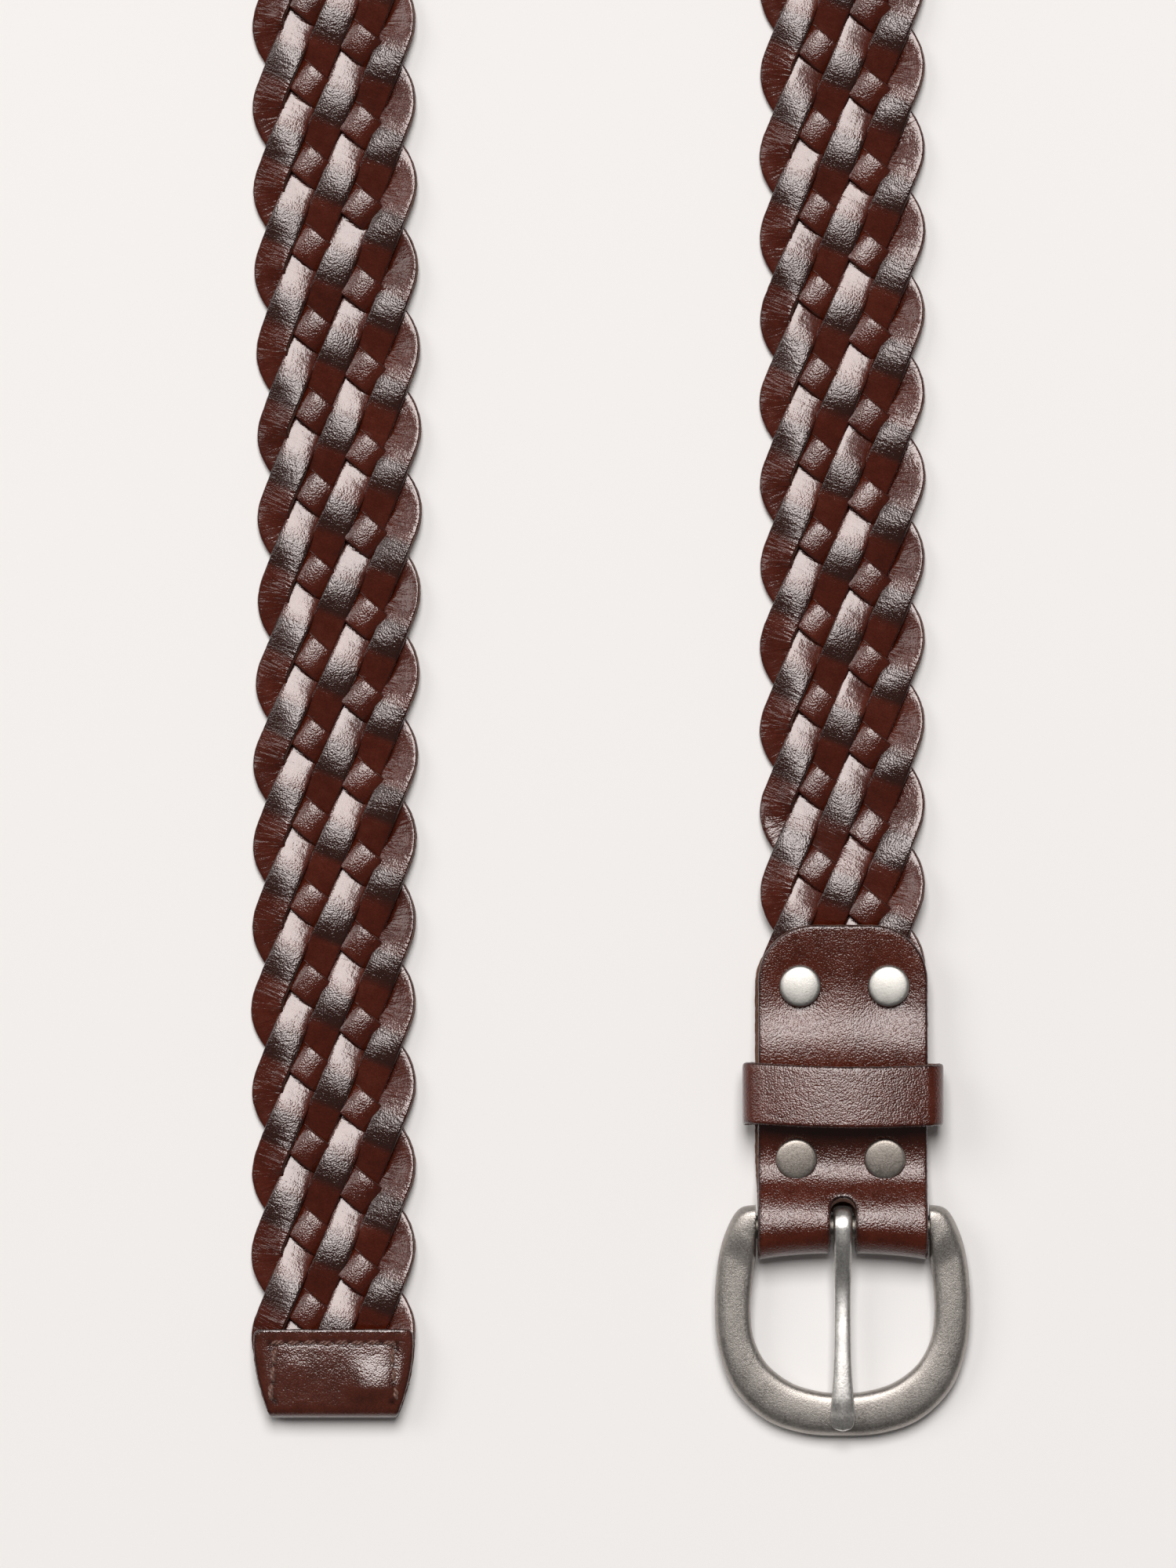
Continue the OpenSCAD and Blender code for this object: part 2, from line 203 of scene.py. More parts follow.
def leather(name, smooth_c, light_c, rough=0.20, grain=0.46, coat=0.60, cell=2700, strand=False):
    """Waxed full-grain leather: pebbled grain, colour that pools in the grain, darker where it is burnished."""
    m, nt, p = nodes_of(name)
    co = obj_coord(nt)
    big = noise(nt, co, 55, 3, 0.6)
    med = noise(nt, co, 420, 3, 0.6)
    peb = voronoi(nt, co, cell, "SMOOTH_F1", 0.5)
    peb2 = noise(nt, co, 5200, 2, 0.6)
    f = math_node(nt, "ADD", math_node(nt, "MULTIPLY", big, 0.6), math_node(nt, "MULTIPLY", med, 0.4))
    dark_c = tuple(c * 0.72 for c in smooth_c)
    col = ramp(nt, f, [(0.34, dark_c), (0.50, smooth_c), (0.68, light_c)])
    col = mix_color(nt, 0.6, col, ramp(nt, peb, [(0.25, (1.08, 1.08, 1.08)), (0.75, (0.6, 0.55, 0.55))]), "MULTIPLY")
    gr = grain
    if not strand:
        # The colour darkens towards the cut edges (burnished edge dye); on the end cap it also darkens round the stitch
        # holes, which is painted shade.
        edge_dye_and_hole_shade = math_node(nt, "ADD", attr(nt, "edge_dye_and_hole_shade"), math_node(nt, "MULTIPLY", math_node(nt, "ADD", med, -0.5), 0.5))
        col = mix_color(nt, 1.0, col, ramp(nt, edge_dye_and_hole_shade, [(0.05, (0.16, 0.14, 0.14)), (0.30, (0.55, 0.50, 0.50)), (0.75, (1, 1, 1))]), "MULTIPLY")
    if strand:
        bz, gz = attr(nt, "bz"), attr(nt, "gz")
        col = mix_color(nt, bz, col, (0.017, 0.0058, 0.0040))
        col = mix_color(nt, 1.0, col, ramp(nt, attr(nt, "ac"), [(0.86, (1, 1, 1)), (0.98, (0.55, 0.50, 0.50))]), "MULTIPLY")
    link(nt, col, p.inputs["Base Color"])
    r = math_node(nt, "ADD", math_node(nt, "MULTIPLY", med, 0.14), rough - 0.07)
    r = math_node(nt, "ADD", r, math_node(nt, "MULTIPLY", peb, 0.06))
    if strand:
        r = math_node(nt, "ADD", r, math_node(nt, "MULTIPLY", bz, -0.05))
    link(nt, r, p.inputs["Roughness"])
    h = math_node(nt, "ADD", math_node(nt, "MULTIPLY", peb, -1.0), math_node(nt, "MULTIPLY", peb2, 0.5))
    if strand:
        h = math_node(nt, "MULTIPLY", h, gz)
    n1 = bump(nt, h, grain, 0.00014)
    if strand:
        al, wr = attr(nt, "al"), attr(nt, "wr")
        comb = nt.nodes.new("ShaderNodeCombineXYZ")
        link(nt, al, comb.inputs[0])
        link(nt, math_node(nt, "MULTIPLY", attr(nt, "av"), 0.16), comb.inputs[1])
        link(nt, attr(nt, "ak"), comb.inputs[2])
        wv = noise(nt, comb.outputs[0], 1300, 2, 0.6, 0.6)
        n1 = bump(nt, math_node(nt, "MULTIPLY", wv, wr), 0.9, 0.00035, n1)
    n2 = bump(nt, med, 0.2, 0.0004, n1)
    link(nt, n2, p.inputs["Normal"])
    link(nt, n2, p.inputs["Coat Normal"])
    p.inputs["IOR"].default_value = 1.5
    p.inputs["Specular IOR Level"].default_value = 0.40
    p.inputs["Specular Tint"].default_value = (1.0, 0.87, 0.85, 1)
    p.inputs["Coat Weight"].default_value = coat
    p.inputs["Coat Roughness"].default_value = 0.08
    return m


def raw_edge(name, base, dark):
    """Cut leather edge: fibrous, matt, lighter than the dyed face."""
    m, nt, p = nodes_of(name)
    co = obj_coord(nt)
    f = noise(nt, co, 2600, 3, 0.7)
    g = noise(nt, co, 300, 2, 0.5)
    col = ramp(nt, math_node(nt, "ADD", math_node(nt, "MULTIPLY", f, 0.6), math_node(nt, "MULTIPLY", g, 0.4)),
               [(0.35, dark), (0.62, base)])
    link(nt, col, p.inputs["Base Color"])
    p.inputs["Roughness"].default_value = 0.78
    p.inputs["Specular IOR Level"].default_value = 0.35
    link(nt, bump(nt, f, 0.7, 0.0002), p.inputs["Normal"])
    return m


def flesh(name, base, dark):
    """Flesh side of the leather: short nap, no shine."""
    m, nt, p = nodes_of(name)
    co = obj_coord(nt)
    f = noise(nt, co, 1600, 4, 0.7)
    g = noise(nt, co, 120, 3, 0.6)
    col = ramp(nt, math_node(nt, "ADD", math_node(nt, "MULTIPLY", f, 0.5), math_node(nt, "MULTIPLY", g, 0.5)),
               [(0.36, dark), (0.64, base)])
    link(nt, col, p.inputs["Base Color"])
    p.inputs["Roughness"].default_value = 0.9
    p.inputs["Specular IOR Level"].default_value = 0.25
    link(nt, bump(nt, f, 0.6, 0.0003), p.inputs["Normal"])
    return m


def nickel(name, base, dark, rough=0.34, pit=0.5):
    """Tumbled antique nickel: soft satin, darker in the pits, brighter on worn high spots."""
    m, nt, p = nodes_of(name)
    co = obj_coord(nt)
    big = noise(nt, co, 130, 4, 0.65)
    fine = noise(nt, co, 2300, 4, 0.75)
    speck = noise(nt, co, 4800, 2, 0.6)
    f = math_node(nt, "ADD", math_node(nt, "MULTIPLY", big, 0.45), math_node(nt, "MULTIPLY", fine, 0.55))
    col = ramp(nt, f, [(0.36, dark), (0.50, base), (0.64, tuple(min(1, c * 1.18) for c in base))])
    link(nt, col, p.inputs["Base Color"])
    p.inputs["Metallic"].default_value = 1.0
    r = math_node(nt, "ADD", math_node(nt, "MULTIPLY", fine, 0.30), rough - 0.15)
    link(nt, r, p.inputs["Roughness"])
    h = math_node(nt, "ADD", fine, math_node(nt, "MULTIPLY", speck, 0.5))
    link(nt, bump(nt, h, pit, 0.00010), p.inputs["Normal"])
    return m


def thread_mat(name, base, dark):
    m, nt, p = nodes_of(name)
    co = obj_coord(nt)
    f = noise(nt, co, 3000, 3, 0.7)
    col = ramp(nt, f, [(0.35, dark), (0.65, base)])
    link(nt, col, p.inputs["Base Color"])
    p.inputs["Roughness"].default_value = 0.38
    p.inputs["Sheen Weight"].default_value = 0.15
    link(nt, bump(nt, f, 0.6, 0.0001), p.inputs["Normal"])
    return m


SMOOTH, LIGHT = (0.060, 0.0078, 0.0024), (0.080, 0.0135, 0.0055)
STRAND_LEATHER = [leather(f"strand_leather_{i}", tuple(c * k for c in SMOOTH), tuple(c * k for c in LIGHT), grain=0.40, cell=2700, strand=True)
                  for i, k in enumerate((1.0, 1.06, 0.95, 1.03, 0.98, 1.08))]
TAB_LEATHER = leather("tab_leather", (0.066, 0.0100, 0.0030), (0.092, 0.0170, 0.0068))
KEEPER_LEATHER = leather("keeper_leather", (0.068, 0.0115, 0.0048), (0.092, 0.0185, 0.0092))
CAP_LEATHER = leather("cap_leather", (0.062, 0.0125, 0.0060), (0.084, 0.0190, 0.0100), grain=0.28, rough=0.18, coat=0.8)
RAW = raw_edge("raw_edge", (0.20, 0.105, 0.075), (0.075, 0.032, 0.022))
RAW_DARK = raw_edge("raw_edge_dark", (0.10, 0.042, 0.030), (0.030, 0.010, 0.008))
FLESH = flesh("flesh_side", (0.16, 0.080, 0.052), (0.085, 0.038, 0.024))
NICKEL = nickel("antique_nickel", (0.40, 0.368, 0.342), (0.26, 0.236, 0.217), rough=0.41, pit=0.55)
# The prong gets a much brighter copy of the nickel than the frame: painted highlight, standing in for the bright
# reflection along its shaft.
PRONG_NICKEL_PAINTED_HIGHLIGHT = nickel("prong_nickel_painted_highlight", (0.78, 0.755, 0.725), (0.56, 0.54, 0.51), rough=0.35, pit=0.2)
# The hinge bar gets a near-black copy of the nickel: painted shade, so the bar reads dark where it shows through the
# prong's slot.
BAR_NICKEL_PAINTED_SHADE = nickel("hinge_bar_painted_shade_nickel", (0.16, 0.145, 0.13), (0.08, 0.07, 0.06), rough=0.45)
# The two rivet pairs get separate copies of one nickel: the lower caps' copy is set for the shade the keeper casts on
# them, so the difference between the pairs is painted shade, not a duller finish.
CAP_NICKEL = nickel("rivet_nickel", (0.35, 0.338, 0.318), (0.29, 0.278, 0.26), rough=0.42, pit=0.2)
CAP_NICKEL_KEEPER_SHADE = nickel("rivet_nickel_keeper_shade", (0.42, 0.375, 0.335), (0.31, 0.275, 0.245), rough=0.40, pit=0.25)
STEEL = nickel("rivet_steel", (0.50, 0.49, 0.48), (0.36, 0.35, 0.34), rough=0.36, pit=0.2)
WIRE = nickel("steel_wire", (0.60, 0.60, 0.60), (0.45, 0.45, 0.45), rough=0.28, pit=0.1)
THREAD = thread_mat("thread", (0.19, 0.082, 0.056), (0.05, 0.020, 0.013))


# ------------------------------------------------------------------ mesh helpers
def make(name, verts, faces, mats, body, face_mat=None, replaces=(), attrs=None, smooth_shade=True):
    """A mesh object from vertices in mm. Faces are turned outwards by the sign of the enclosed volume."""
    v = np.asarray(verts, dtype=float) * MM
    a = np.array([[f[0], f[i], f[i + 1]] for f in faces for i in range(1, len(f) - 1)])
    vol = np.einsum("ij,ij->i", v[a[:, 0]], np.cross(v[a[:, 1]], v[a[:, 2]])).sum()
    if vol < 0:
        faces = [tuple(reversed(f)) for f in faces]
    me = bpy.data.meshes.new(name)
    me.from_pydata([tuple(p) for p in v], [], [tuple(int(i) for i in f) for f in faces])
    for m in mats:
        me.materials.append(m)
    if face_mat is not None:
        me.polygons.foreach_set("material_index", np.asarray(face_mat, dtype=np.int32))
    me.polygons.foreach_set("use_smooth", np.full(len(me.polygons), smooth_shade))
    for k, arr in (attrs or {}).items():
        at = me.attributes.new(k, "FLOAT", "POINT")
        at.data.foreach_set("value", np.asarray(arr, dtype=np.float32))
    me.validate()
    me.update()
    ob = bpy.data.objects.new(name, me)
    bpy.context.scene.collection.objects.link(ob)
    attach(ob, body)
    if replaces:
        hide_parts(*replaces)
    return ob


def sweep_faces(n, m, closed_ends=True, loop=False):
    faces = []
    for i in range(n if loop else n - 1):
        i2 = (i + 1) % n
        for j in range(m):
            j2 = (j + 1) % m
            faces.append((i * m + j, i * m + j2, i2 * m + j2, i2 * m + j))
    if closed_ends and not loop:
        faces.append(tuple(range(m - 1, -1, -1)))
        faces.append(tuple((n - 1) * m + j for j in range(m)))
    return faces


# ------------------------------------------------------------------ strands
STR_W, STR_T, WAVE_H = 6.75, 1.50, 1.05


def profile():
    a, t = STR_W / 2, STR_T
    top = lambda o: t / 2 - 0.13 * (o / a) ** 2
    side = [(a - 0.10, -t / 2), (a - 0.01, -t / 2 + 0.10), (a, 0.0), (a - 0.005, t / 2 - 0.46), (a - 0.05, t / 2 - 0.32), (a - 0.16, t / 2 - 0.215), (a - 0.34, t / 2 - 0.165)]
    tops = [(o, top(o)) for o in (a * 0.76, a * 0.5, a * 0.25, 0.0)]
    right = side + tops
    left = [(-o, v) for o, v in reversed(right[:-1])]
    pts = right + left + [(-a * 0.5, -t / 2), (a * 0.5, -t / 2)]
    o = np.array([p[0] for p in pts])
    v = np.array([p[1] for p in pts])
    kinds = []  # 0 grain, 1 cut edge, 2 flesh: of the face from point j to j + 1
    n = len(pts)
    for j in range(n):
        j2 = (j + 1) % n
        if v[j] <= -t / 2 + 1e-6 and v[j2] <= -t / 2 + 1e-6:
            kinds.append(2)
        elif max(v[j], v[j2]) <= t / 2 - 0.45:
            kinds.append(1)
        else:
            kinds.append(0)
    return o, v, kinds


def squarer(c, k):
    return np.tanh(k * c) / math.tanh(k) if k > 0 else c


def wave(x):
    q = np.abs(x - PERIOD * np.floor((x + PERIOD / 2) / PERIOD))
    c = np.cos(np.pi * q / XA)
    long_leg = 2 * ((1 + c) / 2) ** 1.0 - 1
    short_leg = -squarer(np.cos(np.pi * (q - PERIOD / 2) / XB), 1.8)
    xa, xb = 2 * XA, C1 + XB
    t = np.clip((q - xa) / (xb - xa), 0, 1)
    lobe = np.cos(np.pi * t ** 0.86)
    return np.where(q <= xa, long_leg, np.where(q < xb, lobe, short_leg))


def crest(x):
    """Distance along the strap from the nearest top of a long leg's wave."""
    q = np.abs(x - PERIOD * np.floor((x + PERIOD / 2) / PERIOD))
    return np.minimum(q, np.abs(q - 2 * XA))


def leg_sign(s):
    return 1 - 2 * ease((s - (S1 - 60)) / (S2 - S1 + 120))


def strand(k):
    s0, s1 = 5.2, S3 - 52.3
    s = np.linspace(s0, s1, int((s1 - s0) / 0.55))
    x = s - PHASE - k * PITCH
    ph = rng.uniform(0, 2 * np.pi, 8)
    u = across(x) + 0.10 * np.sin(2 * np.pi * s / 53 + ph[0]) + 0.06 * np.sin(2 * np.pi * s / 31 + ph[1])
    q = np.abs(x - PERIOD * np.floor((x + PERIOD / 2) / PERIOD))
    side = np.sign(x - PERIOD * np.floor((x + PERIOD / 2) / PERIOD))
    h = WAVE_H * (1 + 0.07 * np.sin(2 * np.pi * s / 47 + ph[2]) + 0.06 * np.sin(2 * np.pi * s / 23 + ph[3]))
    h = np.minimum(h, WAVE_H * 1.02)
    w = wave(x) * h
    du = np.gradient(u, s)
    dw = np.gradient(w, s)
    lobe = np.exp(-((q - 33.4) / 6.8) ** 2)
    roll = np.radians(19) * np.exp(-((q - 32.6) / np.where((q > 32.6) & (side * leg_sign(s) < 0), 3.4, 7.0)) ** 2) * leg_sign(s)
    roll = roll + np.radians(2.2) * np.sin(2 * np.pi * s / 39 + ph[4]) + np.radians(1.8) * np.sin(2 * np.pi * s / 19 + ph[5])
    T = np.stack([np.ones_like(s), du, dw], -1)
    T /= np.linalg.norm(T, axis=1)[:, None]
    B = np.stack([-du, np.ones_like(s), np.zeros_like(s)], -1)
    B /= np.linalg.norm(B, axis=1)[:, None]
    N = np.cross(T, B)
    c, sn = np.cos(roll)[:, None], np.sin(roll)[:, None]
    B2, N2 = B * c + N * sn, N * c - B * sn
    o, v, kinds = profile()
    m, n = len(o), len(s)
    wid = 1 + 0.010 * np.sin(2 * np.pi * s / 61 + ph[6])
    jit = rng.normal(0, 0.030, (n, m))
    edge_pt = (np.abs(o) > STR_W / 2 - 0.06)
    oo = o[None, :] * wid[:, None] + np.where(edge_pt[None, :], np.sign(o)[None, :] * np.clip(jit, -0.06, 0.06), 0)
    loc = np.stack([s, u, w], -1)[:, None, :] + oo[..., None] * B2[:, None, :] + v[None, :, None] * N2[:, None, :]
    P = place(loc[..., 0], loc[..., 1], loc[..., 2]).reshape(-1, 3)
    P[:, 2] = np.maximum(P[:, 2], 0.02)
    faces = sweep_faces(n, m)
    fm = [kinds[j] for i in range(n - 1) for j in range(m)] + [1, 1]
    al = np.concatenate([[0], np.cumsum(np.linalg.norm(np.diff(np.stack([s, u, w], -1), axis=0), axis=1))])
    inner = np.clip(-np.sign(side)[:, None] * o[None, :] / (STR_W / 2), -1, 1)
    wr = 0.16 + lobe[:, None] * (0.25 + 0.75 * smooth((inner + 0.4) / 1.2))
    wr = np.clip(wr, 0, 1)
    burn = 1 - smooth((crest(x + 0.2 * leg_sign(s)) - 2.2 + 0.35 * np.sin(s * 1.3 + ph[7])) / 1.9)
    short = np.exp(-((q - PERIOD / 2 + XB) / 3.4) ** 4)
    grainy = np.clip(0.22 + 0.78 * np.maximum(short, 1 - smooth((crest(x) - 3.0) / 3.0)) + 0.25 * lobe, 0, 1)
    attrs = {
        "bz": np.repeat(burn * 0.9, m),
        "gz": np.repeat(grainy, m),
        "al": np.repeat(al, m) * MM,
        "av": np.tile(o, n) * MM,
        "ac": np.abs(np.tile(o, n)) / (STR_W / 2),
        "ak": np.full(n * m, 0.01 * (k + 1)),
        "wr": wr.reshape(-1),
    }
    return make(f"strand_{k + 1}_braided", P, faces, [STRAND_LEATHER[k], RAW, FLESH], "root", fm, tuple(f"strand_{k + 1}_{p}" for p in ("tip_leg", "bend", "buckle_leg")), attrs)


for k in range(6):
    strand(k)


# ------------------------------------------------------------------ leather sheet with a real thickness and rounded edges
def resample(pts, step):
    pts = np.asarray(pts, float)
    closed = np.vstack([pts, pts[:1]])
    d = np.concatenate([[0], np.cumsum(np.linalg.norm(np.diff(closed, axis=0), axis=1))])
    n = max(8, int(round(d[-1] / step)))
    t = np.linspace(0, d[-1], n, endpoint=False)
    return np.stack([np.interp(t, d, closed[:, i]) for i in (0, 1)], -1)


def offset_loop(p, d):
    e1 = p - np.roll(p, 1, 0)
    e2 = np.roll(p, -1, 0) - p
    n1 = np.stack([-e1[:, 1], e1[:, 0]], -1)
    n2 = np.stack([-e2[:, 1], e2[:, 0]], -1)
    n1 /= np.linalg.norm(n1, axis=1)[:, None]
    n2 /= np.linalg.norm(n2, axis=1)[:, None]
    n = n1 + n2
    n /= np.linalg.norm(n, axis=1)[:, None]
    k = np.clip((n * n1).sum(1), 0.6, 1)
    return p + n * (d / k)[:, None]


def inside(poly, pts):
    x, y = pts[:, 0], pts[:, 1]
    r = np.zeros(len(pts), bool)
    q = np.roll(poly, -1, 0)
    for (x1, y1), (x2, y2) in zip(poly, q):
        c = ((y1 > y) != (y2 > y)) & (x < (x2 - x1) * (y - y1) / (y2 - y1 + 1e-12) + x1)
        r ^= c
    return r


def dist_to(poly, pts):
    best = np.full(len(pts), 1e9)
    q = np.roll(poly, -1, 0)
    for a, b in zip(poly, q):
        ab = b - a
        t = np.clip(((pts - a) @ ab) / (ab @ ab + 1e-12), 0, 1)
        best = np.minimum(best, np.linalg.norm(pts - a - t[:, None] * ab, axis=1))
    return best


def area(p):
    q = np.roll(p, -1, 0)
    return 0.5 * (p[:, 0] * q[:, 1] - q[:, 0] * p[:, 1]).sum()


def sheet_solid(name, outline, holes, fold, t, r, step, mats, body, replaces=(), edge_step=0.6, rb=None, rough_edge=0.0, edge_dark=1.1, hole_shade_pricks=None):
    """Flat pattern cut from leather of thickness t, folded by fold(q, x) -> (point, normal), with rounded face edges."""
    rb = rb if rb is not None else r * 0.5
    loops = []
    o = resample(outline, edge_step)
    if area(o) < 0:
        o = o[::-1]
    loops.append(o)
    for h in holes:
        p = resample(h, edge_step * 0.7)
        if area(p) > 0:
            p = p[::-1]
        loops.append(p)
    pts, edges, depth, ringn = [], [], [], []
    rings_d = [0.0, r * 0.16, r * 0.5, r]
    for lp in loops:
        for di, d in enumerate(rings_d):
            p = offset_loop(lp, d) if d > 0 else lp
            base = len(pts)
            pts += [tuple(q) for q in p]
            depth += [d] * len(p)
            ringn += [di] * len(p)
            if di == 0:
                edges += [(base + i, base + (i + 1) % len(p)) for i in range(len(p))]
    lo, hi = o.min(0), o.max(0)
    gx = np.arange(lo[0] + step / 2, hi[0], step)
    gy = np.arange(lo[1] + step / 2, hi[1], step)
    g = np.array([(a + (step / 2 if j % 2 else 0), b) for j, b in enumerate(gy) for a in gx])
    keep = inside(o, g) & (dist_to(o, g) > r + step * 0.45)
    for lp in loops[1:]:
        keep &= ~inside(lp, g) & (dist_to(lp, g) > r + step * 0.45)
    g = g[keep]
    pts += [tuple(q) for q in g]
    depth += [9.0] * len(g)
    res = delaunay_2d_cdt([Vector(p) for p in pts], edges, [], 1, 1e-5)
    vc, _, fc, orig = res[0], res[1], res[2], res[3]
    V = np.array([tuple(p) for p in vc])
    D = np.array([min((depth[i] for i in og), default=9.0) if og else 9.0 for og in orig])
    F = np.array([f for f in fc if len(f) == 3])
    cen = V[F].mean(1)
    ok = inside(o, cen)
    for lp in loops[1:]:
        ok &= ~inside(lp, cen)
    F = F[ok]
    used = np.unique(F)
    remap = -np.ones(len(V), int)
    remap[used] = np.arange(len(used))
    V, D, F = V[used], D[used], remap[F]
    n = len(V)
    dt = np.clip(D, 0, r)
    top = t / 2 - (r - np.sqrt(np.maximum(r * r - (r - dt) ** 2, 0)))
    db = np.clip(D * rb / r, 0, rb)
    bot = -t / 2 + (rb - np.sqrt(np.maximum(rb * rb - (rb - db) ** 2, 0)))
    P, N = fold(V[:, 0], V[:, 1])
    Pt = P + N * top[:, None]
    Pb = P + N * bot[:, None]
    if rough_edge:
        e = D < 1e-6
        j = rng.normal(0, rough_edge, (n, 3)) * e[:, None]
        Pt = Pt + j
        Pb = Pb + j
    cnt = {}
    for f in F:
        for i in range(3):
            e = (int(f[i]), int(f[(i + 1) % 3]))
            cnt[e] = cnt.get(e, 0) + 1
    rim = [e for e in cnt if (e[1], e[0]) not in cnt]
    faces = [tuple(f) for f in F] + [tuple(n + i for i in reversed(f)) for f in F]
    fm = [0] * len(F) + [2] * len(F)
    verts = np.vstack([Pt, Pb])
    faces += [(e[1], e[0], n + e[0], n + e[1]) for e in rim]
    fm += [1] * len(rim)
    near = dist_to(o, V)
    for lp in loops[1:]:
        near = np.minimum(near, dist_to(lp, V))
    # Round each stitch hole the face is darkened as well: painted shade for the hole, on top of the real darker dye
    # along the cut edges.
    if hole_shade_pricks is not None:
        near = np.minimum(near, np.linalg.norm(V[:, None] - np.asarray(hole_shade_pricks)[None], axis=2).min(1) * 0.85)
    edge_dye_and_hole_shade = np.clip(near / edge_dark, 0, 1)
    return make(name, verts, faces, mats, body, fm, replaces, {"edge_dye_and_hole_shade": np.concatenate([edge_dye_and_hole_shade, edge_dye_and_hole_shade])})


def polyline_fold(path, x0, y0, flip=1.0, warp=None):
    """Fold map along a path in the YZ plane; q is the length along the path, x across."""
    path = np.asarray(path, float)
    d = np.concatenate([[0], np.cumsum(np.linalg.norm(np.diff(path, axis=0), axis=1))])
    tan = np.gradient(path, d, axis=0)
    tan /= np.linalg.norm(tan, axis=1)[:, None]

    def fold(x, q):
        y = np.interp(q, d, path[:, 0])
        z = np.interp(q, d, path[:, 1])
        ty = np.interp(q, d, tan[:, 0])
        tz = np.interp(q, d, tan[:, 1])
        nrm = np.stack([np.zeros_like(y), -tz * flip, ty * flip], -1)
        nrm /= np.linalg.norm(nrm, axis=1)[:, None]
        p = np.stack([x + x0, y + y0, z], -1)
        if warp is not None:
            p, nrm = warp(p, nrm, x, y, q)
        return p, nrm
    return fold, d


def spline(xs, ys, x):
    """Monotone-ish cubic through given points."""
    xs, ys = np.asarray(xs, float), np.asarray(ys, float)
    m = np.gradient(ys, xs)
    i = np.clip(np.searchsorted(xs, x) - 1, 0, len(xs) - 2)
    h = xs[i + 1] - xs[i]
    t = (x - xs[i]) / h
    return ((2 * t ** 3 - 3 * t ** 2 + 1) * ys[i] + (t ** 3 - 2 * t ** 2 + t) * h * m[i]
            + (-2 * t ** 3 + 3 * t ** 2) * ys[i + 1] + (t ** 3 - t ** 2) * h * m[i + 1])


# ------------------------------------------------------------------ buckle tab
TAB_TOP, SLOT_TOP, SLOT_R = 62.4, 5.75, 2.6
LOW_Y, UP_Y, RIV_X = 14.0, 49.8, 9.1
FRONT = ([0, 2, 4, 6, 9, 12, 15, 18, 20.5, 24, 30, 34, 36.5, 39, 41, 43, 45, 48, 51, 54, 58, 64],
         [9.05, 8.80, 8.05, 6.85, 4.88, 3.84, 3.64, 3.92, 4.55, 5.45, 7.12, 7.72, 7.78, 7.55, 7.19, 6.87, 6.71, 6.72, 6.78, 6.92, 7.14, 7.50])


